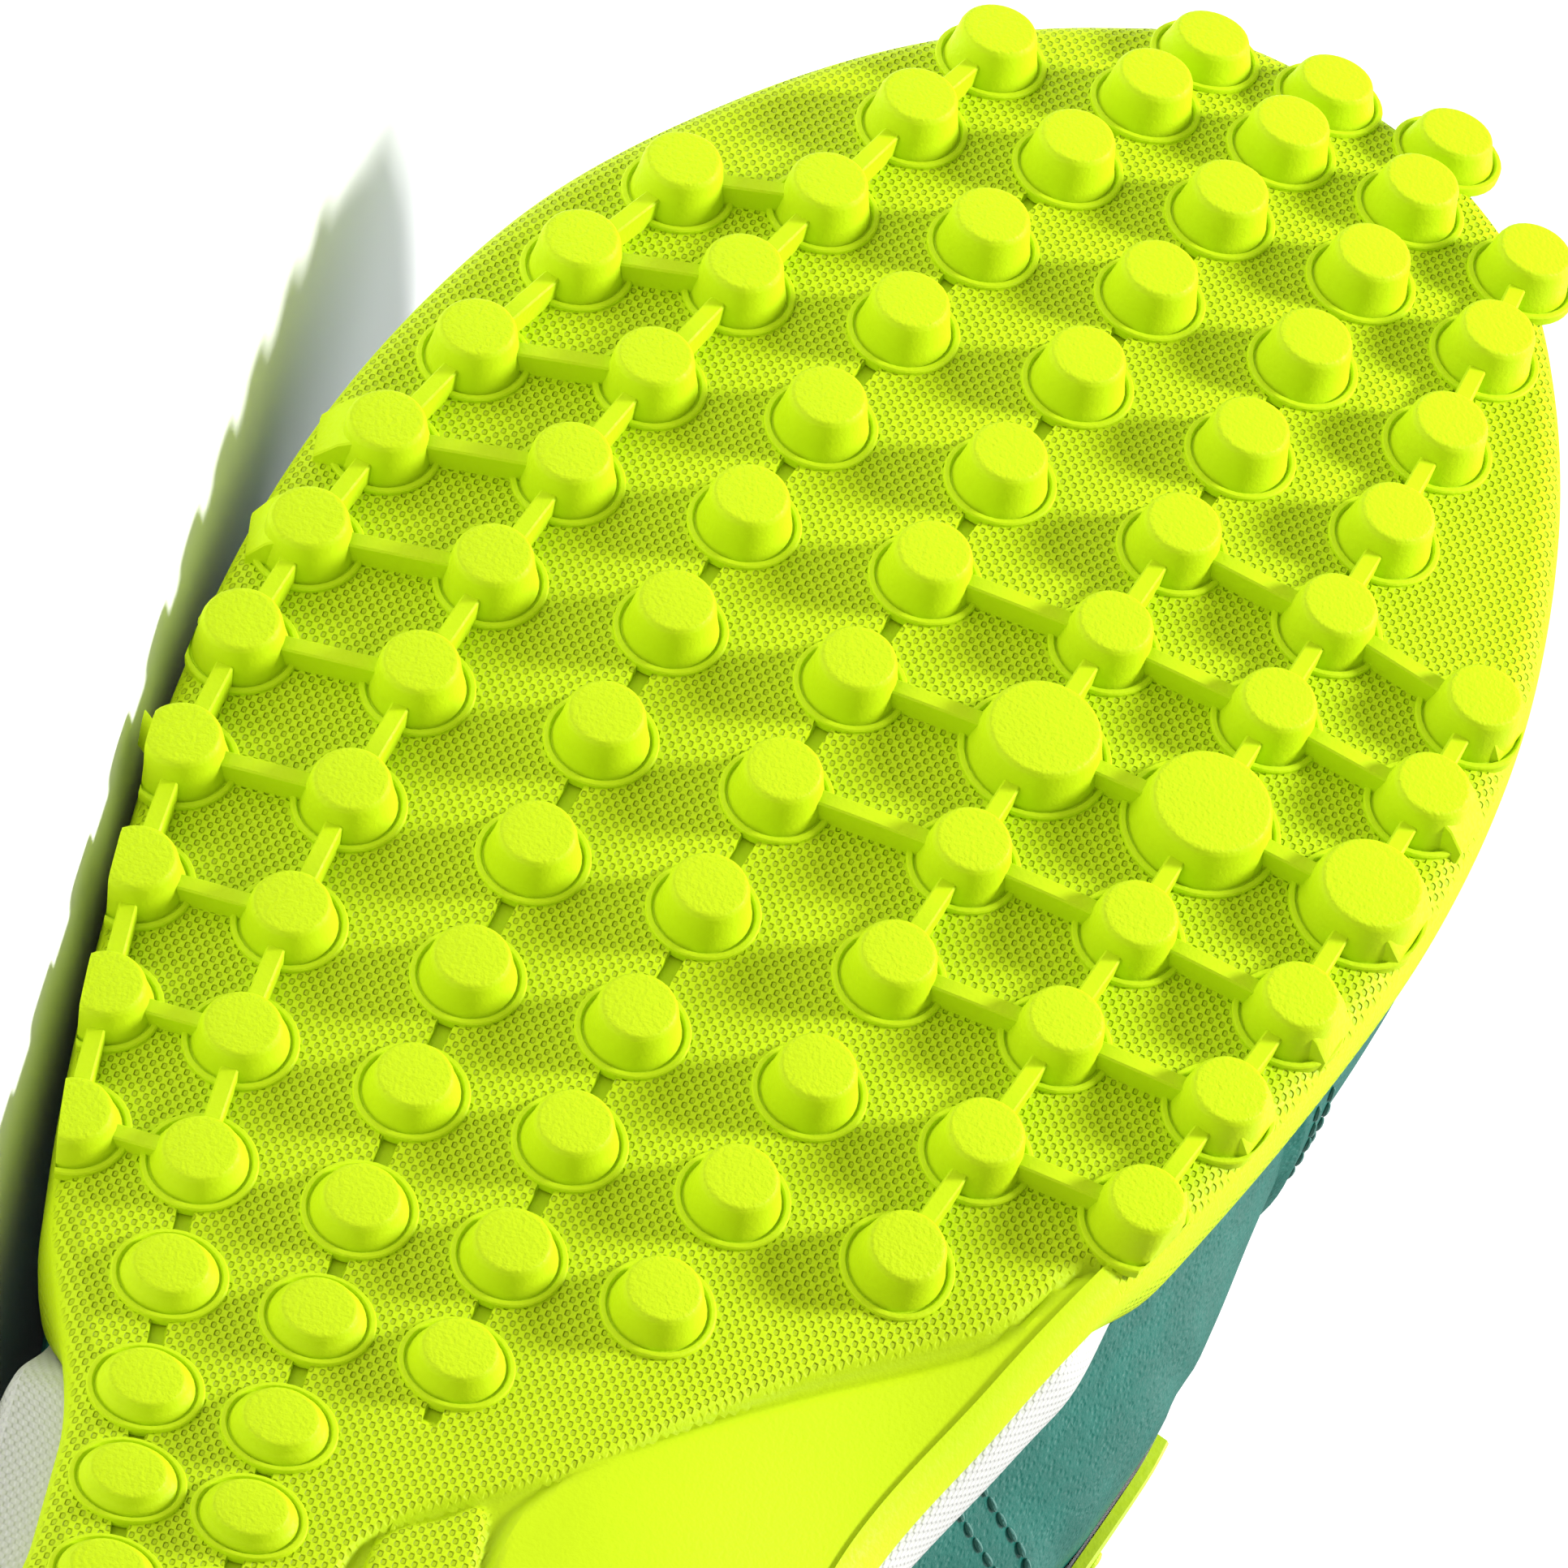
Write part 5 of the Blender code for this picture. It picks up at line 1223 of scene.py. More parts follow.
# Seams. Columns: side (0 outer, 1 inner), points of (along, share up the rib), lift off the base.
SEAMS = [
    (0, [(0.36, 0.84), (0.66, 0.84)], OVERLAY_STEP),
    (0, [(0.36, 0.87), (0.66, 0.87)], OVERLAY_STEP),
    (1, [(0.36, 0.84), (0.66, 0.84)], OVERLAY_STEP),
    (1, [(0.36, 0.87), (0.66, 0.87)], OVERLAY_STEP),
    (0, [(0.655, 0.03), (0.655, 0.18), (0.655, 0.33)], OVERLAY_STEP),
    (1, [(0.655, 0.03), (0.655, 0.18), (0.655, 0.33)], OVERLAY_STEP),
    (1, [(0.663, 0.03), (0.663, 0.18), (0.663, 0.33)], OVERLAY_STEP),
    (0, [(0.66, 0.335), (0.75, 0.335), (0.828, 0.335)], OVERLAY_STEP),
    (1, [(0.66, 0.335), (0.75, 0.335), (0.828, 0.335)], OVERLAY_STEP),
    (0, [(0.232, 0.03), (0.232, 0.18), (0.232, 0.33)], OVERLAY_STEP),
    (1, [(0.232, 0.03), (0.232, 0.18), (0.232, 0.33)], OVERLAY_STEP),
    (0, [(0.13, 0.335), (0.18, 0.335), (0.228, 0.335)], OVERLAY_STEP),
    (1, [(0.13, 0.335), (0.18, 0.335), (0.228, 0.335)], OVERLAY_STEP),
    (1, [(0.50, 0.00), (0.505, 0.08), (0.51, 0.16), (0.51, 0.29)], 0.0),
    (1, [(0.49, 0.00), (0.495, 0.08), (0.50, 0.16), (0.50, 0.29)], 0.0),
    (0, [(0.43, 0.02), (0.46, 0.20), (0.48, 0.45), (0.47, 0.70)], 0.0),
    (0, [(0.42, 0.02), (0.45, 0.20), (0.47, 0.45), (0.46, 0.70)], 0.0),
    (0, [(0.24, 0.36), (0.26, 0.55), (0.26, 0.80)], 0.0),
]
STITCH_PITCH = 2.3 * MM
STITCH_LENGTH = 1.9 * MM
STITCH_WIDTH = 0.62 * MM
STITCH_RINGS = 7
STITCH_SIDES = 8
STITCH_LEAN = 0.10
STITCH_LIFT = 0.08 * MM
PANEL_SEAM_INSET = 0.035


def seam_centres(side, corners, lift):
    """Evenly spaced points on a seam with their directions and normals."""
    pitch = looks().stitch_pitch
    curve = curve_through(np.array(corners), SEAM_SPAN)
    points, normals = straight_point(curve[:, 0] * LENGTH, side, curve[:, 1], lift + STITCH_LIFT)
    run = np.concatenate([[0], np.cumsum(np.linalg.norm(np.diff(points, axis=0), axis=1))])
    marks = np.arange(0.5 * pitch, run[-1], pitch)

    def along(places, values):
        return np.stack([np.interp(places, run, values[:, k]) for k in range(3)], -1)

    places, ups = along(marks, points), along(marks, normals)
    ways = along(marks + 0.2 * MM, points) - places
    size = np.linalg.norm(ways, axis=1, keepdims=True)
    keep = size[:, 0] > 1e-9
    return places[keep], ways[keep] / size[keep], ups[keep]


def make_stitches(name, seams, material):
    """Threads of the seams: one ellipsoid, stretched along its seam, repeated over the list."""
    found = [seam_centres(*seam) for seam in seams]
    places, ways, ups = [np.vstack(part) for part in zip(*found)]
    ups = ups / np.linalg.norm(ups, axis=1, keepdims=True)
    across = np.cross(ways, ups)
    tilt = np.pi * np.arange(STITCH_RINGS)[:, None] / (STITCH_RINGS - 1)
    turn = 2 * np.pi * np.arange(STITCH_SIDES) / STITCH_SIDES
    forward = -np.cos(tilt) * STITCH_LENGTH / 2 + 0 * turn
    side = np.sin(tilt) * np.cos(turn) * STITCH_WIDTH / 2 + STITCH_LEAN * forward
    high = np.sin(tilt) * np.sin(turn) * STITCH_WIDTH / 2
    points = places[:, None, None] + sum(
        way[:, None, None] * share[None, ..., None]
        for way, share in ((ways, forward), (across, side), (ups, high)))
    return make_piece(name, points.reshape(-1, 3),
                      repeated(len(places), STITCH_RINGS, STITCH_SIDES), material)


# Eyelet profile from its middle out and under. Columns: radius, level, share of the hole's painted
# shade.
EYELET_PROFILE = [
    (0.0, 0.02 * MM, 1.0),
    (1.45 * MM, 0.02 * MM, 1.0),
    (1.55 * MM, 0.20 * MM, 0.6),
    (1.75 * MM, 0.34 * MM, 0.0),
    (2.15 * MM, 0.38 * MM, 0.0),
    (2.5 * MM, 0.26 * MM, 0.0),
    (2.7 * MM, 0.02 * MM, 0.0),
    (2.7 * MM, -ROOT, 0.0),
    (0.0, -ROOT, 0.0),
]
EYELET_SIDES = 28


def make_eyelets():
    """Punched eyelets: a profile of pressed rim and a closed disc painted dark as the hole's
    shade, turned round each centre.
    """
    reaches, levels, holes = np.array(EYELET_PROFILE).T
    turn = 2 * np.pi * np.arange(EYELET_SIDES)[:, None] / EYELET_SIDES
    points = []
    for k in range(LACE_ROWS):
        for side in (0, 1):
            y = eyelet_y(k)
            place, up = spot_beside(y, side, level_below_edge(y, side, EYELET_INSET),
                                    OVERLAY_STEP)
            across = np.cross(up, (0.0, 1.0, 0.0))
            across = across / np.linalg.norm(across)
            flat = np.cos(turn) * across + np.sin(turn) * np.cross(up, across)
            points.append(place + reaches[:, None, None] * flat + levels[:, None, None] * up)
    points = np.stack(points)
    hole = np.broadcast_to(holes[None, :, None], points.shape[:3]).ravel()
    return make_piece("eyelets", points.reshape(-1, 3),
                      repeated(len(points), len(reaches), EYELET_SIDES), eyelet_material(), (),
                      {"hole": hole}, sharp=50.0)


# Tongue. Stations: along, share of the margin. End: shares of the rise back and up, width.
TONGUE_STATIONS = [(0.690, 1.00), (0.640, 1.00), (0.580, 1.00), (0.520, 0.90), (0.460, 0.75),
                   (0.420, 0.60)]
TONGUE_END = [(0.25, 0.04, 0.72), (0.75, 0.60, 0.72), (1.10, 1.10, 0.62)]
TONGUE_GAP = 0.98 * MM
TONGUE_DROP = 1.1
TONGUE_EDGE = 0.25
TONGUE_REACHES = (1.0, 0.8, 0.5)


def tongue_section(y, margin):
    """Seven top points of the tongue under the eyestay, from outer to inner, and their normals."""
    depth = WALL + TONGUE_GAP
    found = [spot_beside(y, side, level_below_edge(y, side, reach * margin), -depth)
             for side in (0, 1) for reach in TONGUE_REACHES[::1 - 2 * side]]
    edge = spot_beside(y, 0, 1.0, 0.0)[0]
    middle = np.array([float(axis_x(y)), y, edge[2] - TONGUE_DROP * depth])
    found.insert(3, (middle, np.array([0.0, 0.0, 1.0])))
    return [np.array(part) for part in zip(*found)]


def make_tongue():
    """Padded tongue with a rounded edge, through the sections that the solid has."""
    sections = [tongue_section(along * LENGTH, share * TONGUE_MARGIN)
                for along, share in TONGUE_STATIONS]
    tops, ups = [list(part) for part in zip(*sections)]
    last = tops[-1]
    for back, rise, width in TONGUE_END:
        narrowed = last[3] + (last - last[3]) * np.array([width, 1.0, 1.0])
        tops.append(narrowed + np.array([0.0, -back, rise]) * TONGUE_RISE)
        ups.append(ups[-1])
    smooth = []
    for rows in (tops, ups):
        rows = curve_through(np.array(rows).reshape(len(rows), -1), TONGUE_SPANS[0])
        smooth.append(np.array([curve_through(row, TONGUE_SPANS[1])
                                for row in rows.reshape(-1, 7, 3)]))
    tops, ups = smooth
    share = np.linspace(-1, 1, tops.shape[1])
    thick = TONGUE_EDGE + (1 - TONGUE_EDGE) * np.sqrt(np.maximum(0, 1 - share ** 4))
    low = tops - ups * (TONGUE_THICKNESS * thick)[None, :, None]
    sections = np.concatenate([tops, low[:, ::-1]], axis=1)
    points = sections.reshape(-1, 3)
    return make_piece("tongue_skin", points, closed_loft(sections), mesh_material(),
                      ("tongue",), {"layout": points}, sharp=60.0)


def eyelet_y(k):
    """Place along of a pair of eyelets, the lowest first."""
    first, last = LOW_EYELET * LENGTH, TOP_EYELET * LENGTH
    return first + (last - first) * k / (LACE_ROWS - 1)


# Lace run. Shares along it and of the eyelet's inset on the first side; the second mirrors them.
RUN_SHARES = (0.0, 0.17, 0.34)
RUN_INSETS = (1.0, 0.5, 0.02)
LACE_DIP = 1.6
LACE_ENTRY = 0.3
LACE_SIDES = 16
LACE_NARROW = 0.25
THROAT_STEP = 5 * MM


def strap_path(start, end, side, lift):
    """Path of a lace run over the throat, as 7 points."""
    offset = OVERLAY_STEP + LACE_LIFT + (0.5 + lift) * LACE_THICKNESS

    def beside(share, edge, inset):
        y = start + (end - start) * share
        return spot_beside(y, edge, level_below_edge(y, edge, inset * EYELET_INSET), offset)[0]

    first = [beside(share, side, inset) for share, inset in zip(RUN_SHARES, RUN_INSETS)]
    last = [beside(1 - share, 1 - side, inset) for share, inset in zip(RUN_SHARES, RUN_INSETS)]
    y = 0.5 * (start + end)
    edge = spot_beside(y, side, 1.0, 0.0)[0]
    top = np.array([float(axis_x(y)), y, edge[2] + offset + LACE_ARCH])
    return np.array(first + [top] + last[::-1])


def lace_run(start, end, side, lift):
    """Sections of one run and their pattern places: a flat superellipse carried along its path.

    The path dips at both ends into the eyelets, and the run narrows there.
    """
    path = strap_path(start, end, side, lift)
    dip = np.array([0, 0, LACE_LIFT * LACE_DIP])
    first = path[0] - (path[1] - path[0]) * LACE_ENTRY - dip
    last = path[-1] - (path[-2] - path[-1]) * LACE_ENTRY - dip
    dense = curve_through(np.vstack([first, path, last]), LACE_SPAN)
    level = np.array([0.0, -throat_slope(0.5 * (eyelet_y(0) + eyelet_y(1))), 1.0])
    across = np.cross(path[-1] - path[0], level)
    across = across / np.linalg.norm(across)
    up = np.cross(across, np.gradient(dense, axis=0))
    up = up / np.linalg.norm(up, axis=1, keepdims=True)
    turns = 2 * np.pi * np.arange(LACE_SIDES) / LACE_SIDES
    wide = np.sign(np.cos(turns)) * np.abs(np.cos(turns)) ** 0.5 * LACE_WIDTH / 2
    high = np.sign(np.sin(turns)) * np.abs(np.sin(turns)) ** 0.7 * LACE_THICKNESS / 2
    steps = np.arange(len(dense))
    ends = 1 - LACE_NARROW * (2 - ease(0, 5, steps) - ease(0, 5, steps[::-1]))
    sections = (dense[:, None] + across * (wide * ends[:, None])[..., None]
                + up[:, None] * high[None, :, None])
    run = np.concatenate([[0], np.cumsum(np.linalg.norm(np.diff(dense, axis=0), axis=1))])
    flat = np.zeros(sections.shape[:2])
    return sections, np.stack([wide + flat, run[:, None] + flat, flat], -1)


def make_laces():
    """Flat woven lace: one straight run at the toe end, then two crossed runs for each row."""
    rows = [eyelet_y(k) for k in range(LACE_ROWS)]
    runs = [lace_run(rows[0], rows[0], 0, 0.5 * LACE_OVERLAP)]
    for low, high in zip(rows, rows[1:]):
        runs += [lace_run(low, high, 0, 0.0), lace_run(low, high, 1, LACE_OVERLAP)]
    faces, total = [], 0
    for sections, _ in runs:
        faces += [[v + total for v in face] for face in closed_loft(sections)]
        total += sections.shape[0] * sections.shape[1]
    points, layout = [np.vstack([part.reshape(-1, 3) for part in parts]) for parts in zip(*runs)]
    return make_piece("lace_runs", points, faces, lace_material(), ("laces",),
                      {"layout": layout}, sharp=60.0)


def throat_slope(y):
    """Slope of the throat's edge towards the toe."""
    low, high = [spot_beside(p, 0, 1.0, 0.0)[0][2] for p in (y - THROAT_STEP, y)]
    return (high - low) / THROAT_STEP


class Shader:
    """Short helper that adds nodes to one material and links them."""

    def __init__(self, name):
        self.material = bpy.data.materials.new(name)
        self.material.use_nodes = True
        self.nodes = self.material.node_tree.nodes
        self.links = self.material.node_tree.links
        self.principled = self.nodes["Principled BSDF"]

    def add(self, kind, **values):
        """New node; keyword values set its properties."""
        node = self.nodes.new(kind)
        for key, value in values.items():
            setattr(node, key, value)
        return node

    def join(self, source, target):
        """Link from an output socket to an input socket, or a value set on it."""
        if hasattr(source, "is_output"):
            self.links.new(source, target)
        else:
            target.default_value = source

    def maths(self, operation, one, two=0.0, clamp=False):
        """Output of a Math node."""
        node = self.add("ShaderNodeMath", operation=operation, use_clamp=clamp)
        self.join(one, node.inputs[0])
        self.join(two, node.inputs[1])
        return node.outputs[0]

    def mark(self, name, output="Fac"):
        """Value or vector of an attribute of the piece."""
        node = self.add("ShaderNodeAttribute", attribute_name=name, attribute_type="GEOMETRY")
        return node.outputs[output]

    def place(self):
        """Object coordinates."""
        return self.add("ShaderNodeTexCoord").outputs["Object"]

    def laid_out(self):
        """First two parts of the piece's own pattern place."""
        split = self.add("ShaderNodeSeparateXYZ")
        self.join(self.mark("layout", "Vector"), split.inputs[0])
        return split.outputs["X"], split.outputs["Y"]

    def turns(self, value, pitch):
        """Angle that makes one turn in each pitch."""
        return self.maths("MULTIPLY", value, 2 * math.pi / pitch)

    def lattice(self, pitch_x, pitch_y):
        """Product of two cosines over the pattern place: peaks and pits on a centred lattice."""
        x, y = self.laid_out()
        one = self.maths("COSINE", self.turns(x, pitch_x))
        return self.maths("MULTIPLY", one, self.maths("COSINE", self.turns(y, pitch_y)))

    def range(self, value, low, high, to_low=0.0, to_high=1.0):
        """Smooth Map Range of a value."""
        node = self.add("ShaderNodeMapRange", interpolation_type="SMOOTHSTEP")
        self.join(value, node.inputs["Value"])
        for key, number in (("From Min", low), ("From Max", high), ("To Min", to_low),
                            ("To Max", to_high)):
            node.inputs[key].default_value = number
        return node.outputs["Result"]

    def noise(self, vector, scale, detail=3.0, roughness=0.5):
        """Noise texture value."""
        node = self.add("ShaderNodeTexNoise")
        self.join(vector, node.inputs["Vector"])
        node.inputs["Scale"].default_value = scale
        node.inputs["Detail"].default_value = detail
        node.inputs["Roughness"].default_value = roughness
        return node.outputs["Fac"]

    def cells(self, vector, scale, feature="F1"):
        """Voronoi distance."""
        node = self.add("ShaderNodeTexVoronoi", feature=feature)
        self.join(vector, node.inputs["Vector"])
        node.inputs["Scale"].default_value = scale
        return node.outputs["Distance"]

    def blend(self, share, one, two):
        """Colour mix."""
        node = self.add("ShaderNodeMix", data_type="RGBA")
        self.join(share, node.inputs["Factor"])
        self.join(one, node.inputs[6])
        self.join(two, node.inputs[7])
        return node.outputs[2]

    def bump(self, height, distance, strength=1.0, below=None):
        """Bump node normal."""
        node = self.add("ShaderNodeBump")
        node.inputs["Distance"].default_value = distance
        node.inputs["Strength"].default_value = strength
        self.join(height, node.inputs["Height"])
        if below is not None:
            self.join(below, node.inputs["Normal"])
        return node.outputs["Normal"]

    def finish(self, colour, roughness, normal=None, **constants):
        """Connects colour, roughness and normal, and sets constants on the shader."""
        self.join(colour, self.principled.inputs["Base Color"])
        self.join(roughness, self.principled.inputs["Roughness"])
        if normal is not None:
            self.join(normal, self.principled.inputs["Normal"])
        for key, value in constants.items():
            self.principled.inputs[key.replace("_", " ")].default_value = value
        return self.material


# Colours, linear
LIME = (0.54, 0.725, 0.005, 1.0)
# Lime of the painted shade in waffle pits, grooves, the arch recess and the lace's braid, and of
# loose tone patches
LIME_SHADE_AND_TONE = (0.29, 0.40, 0.002, 1.0)
TEAL = (0.009, 0.120, 0.092, 1.0)
TEAL_LIGHT = (0.012, 0.145, 0.112, 1.0)
TEAL_THREAD = (0.020, 0.150, 0.118, 1.0)
EYELET_RIM = (0.012, 0.10, 0.076, 1.0)
# Painted shade: the dark disc that stands for each eyelet's hole
EYELET_HOLE_SHADE = (0.003, 0.006, 0.005, 1.0)
FOAM_WHITE = (0.62, 0.62, 0.59, 1.0)
# Painted shade in the sunk lines of the foam's embossed net
FOAM_SHADE = (0.50, 0.50, 0.47, 1.0)
LINING_DARK = (0.03, 0.045, 0.045, 1.0)
MESH_TEAL = (0.024, 0.17, 0.13, 1.0)
# Painted shade in the sunk openings of the tongue's mesh
MESH_PIT_SHADE = (0.006, 0.04, 0.03, 1.0)
CLOTH_DARK = (0.05, 0.06, 0.06, 1.0)
CLOTH_LIGHT = (0.14, 0.16, 0.16, 1.0)
FLOOR_PALE = (0.93, 0.93, 0.93, 1.0)

# Pitches of the patterns, across and along
WAFFLE_PITCH = (0.94 * MM, 1.32 * MM)
FOAM_PITCH = (0.85 * MM, 1.05 * MM)
MESH_PITCH = (1.3 * MM, 1.3 * MM)
BRAID_PITCH = (0.8 * MM, 1.1 * MM)
FLOOR_REACH = 6.0
MATERIALS = {}


def rubber_material():
    """Lime rubber with the waffle tread of pits on a centred lattice.

    The tread mark is 1 where the underside is waffled and negative where the wrap is; the pits
    there are shallower. Smooth stud tops have a little more grain. The pits, and the grooves and
    recess of the painted shade mark, are darkened towards the shade colour as painted shade; loose
    patches of that colour are random tone.
    """
    if "rubber" in MATERIALS:
        return MATERIALS["rubber"]
    s = Shader("lime_rubber_look")
    lime, dark = looks().lime, looks().lime_shade_and_tone
    tread = s.mark("tread")
    pit = s.range(s.lattice(*WAFFLE_PITCH), -0.05, 0.65)
    under = s.maths("MAXIMUM", tread, 0.0)
    wrap = s.maths("MAXIMUM", s.maths("MULTIPLY", tread, -1.0), 0.0)
    sunk = s.maths("MULTIPLY", pit, s.maths("ADD", under, s.maths("MULTIPLY", wrap, 0.8)))
    place = s.place()
    grain = s.noise(place, 2600, 2.0)
    rough = s.maths("ADD", s.maths("MULTIPLY", s.mark("tops"), 0.30), 0.14)
    height = s.maths("SUBTRACT", s.maths("MULTIPLY", grain, rough), sunk)
    normal = s.bump(height, looks().waffle_depth, 1.0)
    # Painted shade: the colour darkens in the waffle's pits and where the painted shade mark lies
    shade = s.maths("MAXIMUM", s.maths("MULTIPLY", sunk, 0.50),
                    s.maths("MULTIPLY", s.mark("painted_shade"), 0.45))
    patch = s.range(s.noise(place, 60, 4.0), 0.35, 0.75, 0.0, 0.10)
    colour = s.blend(patch, s.blend(shade, lime, dark), dark)
    roughness = s.range(grain, 0.3, 0.7, 0.50, 0.66)
    MATERIALS["rubber"] = s.finish(colour, roughness, normal, Specular_IOR_Level=0.14)
    return MATERIALS["rubber"]


def eyelet_material():
    """Pressed leather rim with the hole painted dark as shade."""
    s = Shader("eyelet_look")
    return s.finish(s.blend(s.mark("hole"), EYELET_RIM, EYELET_HOLE_SHADE), 0.5)


def thread_material(name, colour):
    """Twisted thread."""
    s = Shader(name)
    normal = s.bump(s.noise(s.place(), 5000, 1.0), 0.08 * MM, 0.8)
    return s.finish(colour, 0.6, normal, Sheen_Weight=0.15)


def panel_material():
    """Smooth lime film of the side panel."""
    s = Shader("lime_panel_look")
    place = s.place()
    fine = s.noise(place, 1800, 3.0)
    normal = s.bump(fine, 0.05 * MM, 0.8)
    patch = s.range(s.noise(place, 90), 0.4, 0.8, 0.0, 0.2)
    colour = s.blend(patch, looks().lime, looks().lime_shade_and_tone)
    return s.finish(colour, s.range(fine, 0.3, 0.7, 0.32, 0.5), normal, Coat_Weight=0.15)


def foam_material():
    """White midsole foam with an embossed net on its side; the net's sunk lines are darkened
    towards the foam shade colour as painted shade.
    """
    s = Shader("white_foam_look")
    net = s.maths("MULTIPLY", s.range(s.lattice(*FOAM_PITCH), -0.6, 0.6), s.mark("emboss"))
    skin = s.noise(s.place(), 1400, 3.0)
    normal = s.bump(s.maths("SUBTRACT", s.maths("MULTIPLY", skin, 0.25), net), 0.07 * MM, 1.0)
    return s.finish(s.blend(s.maths("MULTIPLY", net, 0.25), looks().foam, FOAM_SHADE), 0.6, normal)


def leather_material():
    """Teal leather with fine grain and sparkle outside, dark mesh lining inside."""
    s = Shader("teal_leather_look")
    place = s.place()
    pebble = s.range(s.cells(place, 1500), 0.05, 0.55)
    fine = s.noise(place, 3600, 3.0, 0.6)
    height = s.maths("ADD", s.maths("MULTIPLY", pebble, 0.7), s.maths("MULTIPLY", fine, 0.5))
    soft = s.bump(s.noise(place, 130, 4.0), 0.5 * MM, 0.35)
    normal = s.bump(height, 0.07 * MM, 0.9, soft)
    tone = s.range(s.noise(place, 240, 5.0), 0.35, 0.7)
    colour = s.blend(s.mark("lining"), s.blend(tone, looks().teal, TEAL_LIGHT), LINING_DARK)
    return s.finish(colour, s.range(fine, 0.25, 0.75, 0.32, 0.60), normal,
                    Specular_IOR_Level=0.20)


def mesh_material():
    """Woven mesh of the tongue; its sunk openings are darkened in colour as painted shade."""
    s = Shader("teal_mesh_look")
    wave = s.range(s.lattice(*MESH_PITCH), 0.1, 0.7)
    normal = s.bump(s.maths("MULTIPLY", wave, -1.0), 0.25 * MM, 1.0)
    colour = s.blend(s.maths("MULTIPLY", wave, 0.6), MESH_TEAL, MESH_PIT_SHADE)
    return s.finish(colour, 0.8, normal, Sheen_Weight=0.2)


def lining_material():
    """Grey cloth of the insole."""
    s = Shader("grey_lining_look")
    fine = s.noise(s.place(), 2200, 2.0)
    return s.finish(s.blend(fine, CLOTH_DARK, CLOTH_LIGHT), 0.85, s.bump(fine, 0.15 * MM, 0.8),
                    Sheen_Weight=0.15)


def lace_material():
    """Lime woven lace with a chevron braid: a leaning wave along times a wave across. The braid's
    low parts are darkened towards the lime shade colour: painted shade.
    """
    s = Shader("lime_lace_look")
    x, y = s.laid_out()
    across = s.maths("ABSOLUTE", x)
    braid = s.maths("SINE", s.turns(s.maths("ADD", y, across), BRAID_PITCH[1]))
    wave = s.maths("MULTIPLY", braid, s.maths("SINE", s.turns(across, BRAID_PITCH[0])))
    colour = s.blend(s.range(wave, -0.8, 0.8), looks().lime_shade_and_tone, looks().lime)
    return s.finish(colour, 0.75, s.bump(wave, 0.16 * MM, 1.0), Sheen_Weight=0.25)


def floor_material():
    """Plain pale floor."""
    return Shader("pale_floor").finish(FLOOR_PALE, 0.7)


def linked(name, data):
    """New object of the scene that carries the data."""
    made_object = bpy.data.objects.new(name, data)
    bpy.context.scene.collection.objects.link(made_object)
    return made_object


def make_floor():
    """Square floor far wider than the view."""
    mesh = bpy.data.meshes.new("floor")
    corners = [(x * FLOOR_REACH, y * FLOOR_REACH, 0)
               for x, y in ((-1, -1), (1, -1), (1, 1), (-1, 1))]
    mesh.from_pydata(corners, [], [(0, 1, 2, 3)])
    mesh.materials.append(floor_material())
    linked("floor", mesh)


def make_light():
    """White surroundings and area lamps that face the object."""
    scene = bpy.context.scene
    scene.world = scene.world or bpy.data.worlds.new("World")
    scene.world.use_nodes = True
    background = scene.world.node_tree.nodes["Background"]
    background.inputs["Color"].default_value = (1.0, 1.0, 1.0, 1.0)
    background.inputs["Strength"].default_value = FILL_STRENGTH
    scene.view_settings.view_transform = "Standard"
    for name, place, size, power in LAMPS:
        light = bpy.data.lights.new(name, "AREA")
        light.energy = looks().key_watts if name == "key" else power
        light.size = size
        lamp = linked(name, light)
        lamp.location = place
        lamp.rotation_euler = (-Vector(place)).to_track_quat("-Z", "Y").to_euler()


def make_camera():
    """Camera at the photograph's angle, at one scale across the sole."""
    turn = LAID.to_3x3()
    right, up, back = [(turn @ v).normalized() for v in (VIEW_RIGHT, VIEW_UP, VIEW_BACK)]
    centre = PHOTO_SIDE / 2
    shift_right = (centre - AIM_PIXEL[0]) / PIXELS_PER_METRE
    shift_up = (AIM_PIXEL[1] - centre) / PIXELS_PER_METRE
    data = bpy.data.cameras.new("camera")
    data.sensor_width = SENSOR
    data.lens = SENSOR * PIXELS_PER_METRE * CAMERA_DISTANCE / PHOTO_SIDE
    data.clip_end = 20
    camera = linked("camera", data)
    aim = LAID @ Vector((0.0, AIM_ALONG, 0.0))
    location = aim + right * shift_right + up * shift_up + back * CAMERA_DISTANCE
    basis = Matrix((right, up, back)).transposed().to_4x4()
    camera.matrix_world = Matrix.Translation(location) @ basis
    bpy.context.scene.camera = camera


def looks():
    """Settings of the add-on."""
    return bpy.context.scene.shoe_looks


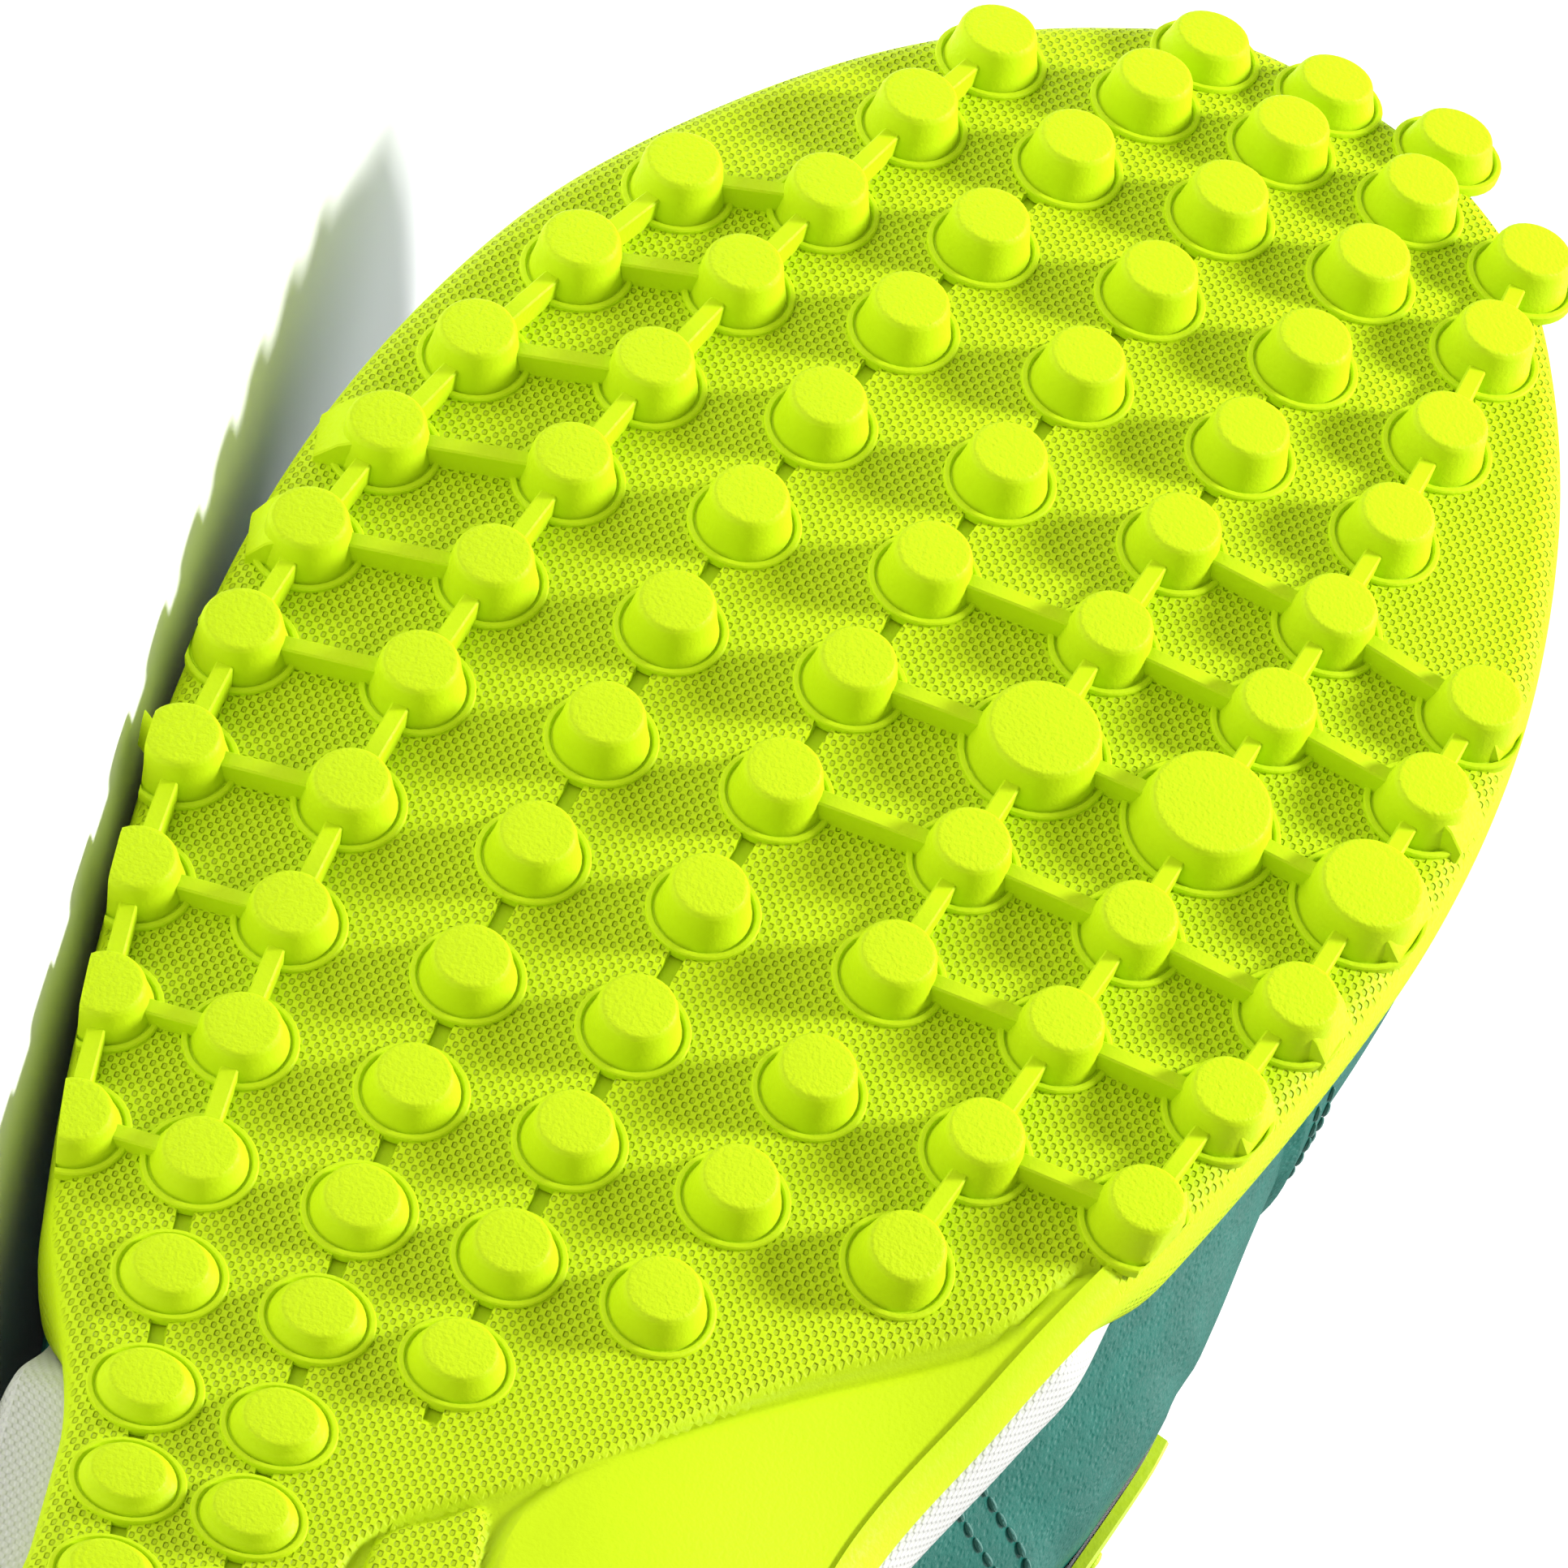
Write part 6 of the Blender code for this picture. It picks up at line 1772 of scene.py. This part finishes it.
class ShoeLooks(bpy.types.PropertyGroup):
    """Settings that the operators read."""

    waffle_depth: bpy.props.FloatProperty(
        name="Waffle depth", description="Depth of the pits in the tread",
        default=0.26 * MM, min=0.0, max=1.0 * MM, subtype="DISTANCE", unit="LENGTH")
    crease_strength: bpy.props.FloatProperty(
        name="Creases", description="Share of the depth of the creases where the shoe bends",
        default=1.0, min=0.0, max=3.0, subtype="FACTOR")
    stitch_pitch: bpy.props.FloatProperty(
        name="Stitch pitch", description="Distance from one stitch to the next",
        default=STITCH_PITCH, min=1.0 * MM, max=6.0 * MM, subtype="DISTANCE", unit="LENGTH")
    key_watts: bpy.props.FloatProperty(
        name="Key light", description="Power of the light over the sole in watts",
        default=LAMPS[0][3], min=0.0, max=200.0)
    lime: bpy.props.FloatVectorProperty(
        name="Lime", description="Colour of the sole, the side panel and the lace",
        default=LIME, size=4, min=0.0, max=1.0, subtype="COLOR")
    # Painted shade of the lime pieces in pits, grooves and the braid; also the colour of their
    # loose tone patches
    lime_shade_and_tone: bpy.props.FloatVectorProperty(
        name="Lime shade", description="Colour of the lime pieces in pits and grooves",
        default=LIME_SHADE_AND_TONE, size=4, min=0.0, max=1.0, subtype="COLOR")
    teal: bpy.props.FloatVectorProperty(
        name="Teal", description="Colour of the upper's leather",
        default=TEAL, size=4, min=0.0, max=1.0, subtype="COLOR")
    foam: bpy.props.FloatVectorProperty(
        name="Foam", description="Colour of the midsole",
        default=FOAM_WHITE, size=4, min=0.0, max=1.0, subtype="COLOR")


def made(*pieces):
    """Result of an operator, which stops with an error where a piece came out empty."""
    for piece in pieces:
        if piece is None or not piece.data.polygons:
            raise RuntimeError("a piece of the shoe came out empty")
    return {"FINISHED"}


class SHOE_OT_sole(bpy.types.Operator):
    """Makes the outsole with its studs, ribs and fins"""

    bl_idname = "shoe.sole"
    bl_label = "Outsole"

    def execute(self, context):
        return made(make_outsole(), make_studs(), make_ribs())


class SHOE_OT_foam(bpy.types.Operator):
    """Makes the midsole and the insole"""

    bl_idname = "shoe.foam"
    bl_label = "Midsole and insole"

    def execute(self, context):
        return made(make_midsole(), make_insole())


class SHOE_OT_upper(bpy.types.Operator):
    """Makes the upper with its seams and eyelets"""

    bl_idname = "shoe.upper"
    bl_label = "Upper"

    def execute(self, context):
        teal = thread_material("teal_thread", TEAL_THREAD)
        return made(make_upper(), make_stitches("seams", SEAMS, teal), make_eyelets())


class SHOE_OT_panel(bpy.types.Operator):
    """Makes the lime panel of the inner side with its seam"""

    bl_idname = "shoe.panel"
    bl_label = "Side panel"

    def execute(self, context):
        lime = thread_material("lime_thread", looks().lime)
        lift = PANEL_GAP + PANEL_THICKNESS
        inner = PANEL[1:-1]
        low = [(r[0], r[1] + PANEL_SEAM_INSET) for r in inner]
        high = [(r[0], r[2] - PANEL_SEAM_INSET) for r in inner]
        seams = [(1, low, lift), (1, high, lift)]
        return made(make_panel(), make_stitches("panel_seams", seams, lime))


class SHOE_OT_tongue(bpy.types.Operator):
    """Makes the tongue"""

    bl_idname = "shoe.tongue"
    bl_label = "Tongue"

    def execute(self, context):
        return made(make_tongue())


class SHOE_OT_laces(bpy.types.Operator):
    """Makes the crossed lace runs"""

    bl_idname = "shoe.laces"
    bl_label = "Laces"

    def execute(self, context):
        return made(make_laces())


class SHOE_OT_stage(bpy.types.Operator):
    """Makes the floor, the lights and the camera"""

    bl_idname = "shoe.stage"
    bl_label = "Stage"

    def execute(self, context):
        make_floor()
        make_light()
        make_camera()
        if context.scene.camera is None:
            raise RuntimeError("the scene has no camera")
        return {"FINISHED"}


SETTINGS = ("waffle_depth", "crease_strength", "stitch_pitch", "key_watts", "lime", "lime_shade_and_tone",
            "teal", "foam")
STEPS = ("sole", "foam", "upper", "panel", "tongue", "laces", "stage")


class SHOE_PT_looks(bpy.types.Panel):
    """Sidebar panel with the settings and the operators"""

    bl_idname = "SHOE_PT_looks"
    bl_label = "Hockey shoe"
    bl_space_type = "VIEW_3D"
    bl_region_type = "UI"
    bl_category = "Shoe"

    def draw(self, context):
        for name in SETTINGS:
            self.layout.prop(context.scene.shoe_looks, name)
        for step in STEPS:
            self.layout.operator(f"shoe.{step}")


CLASSES = (ShoeLooks, SHOE_OT_sole, SHOE_OT_foam, SHOE_OT_upper, SHOE_OT_panel, SHOE_OT_tongue,
           SHOE_OT_laces, SHOE_OT_stage, SHOE_PT_looks)


def register():
    """Adds the classes and the settings."""
    for kind in CLASSES:
        bpy.utils.register_class(kind)
    bpy.types.Scene.shoe_looks = bpy.props.PointerProperty(type=ShoeLooks)


def unregister():
    """Takes the settings and the classes away."""
    del bpy.types.Scene.shoe_looks
    for kind in reversed(CLASSES):
        bpy.utils.unregister_class(kind)


def main():
    """Registers the add-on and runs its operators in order."""
    register()
    bpy.ops.shoe.sole()
    bpy.ops.shoe.foam()
    bpy.ops.shoe.upper()
    bpy.ops.shoe.panel()
    bpy.ops.shoe.tongue()
    bpy.ops.shoe.laces()
    bpy.ops.shoe.stage()


if __name__ == "__main__":
    main()
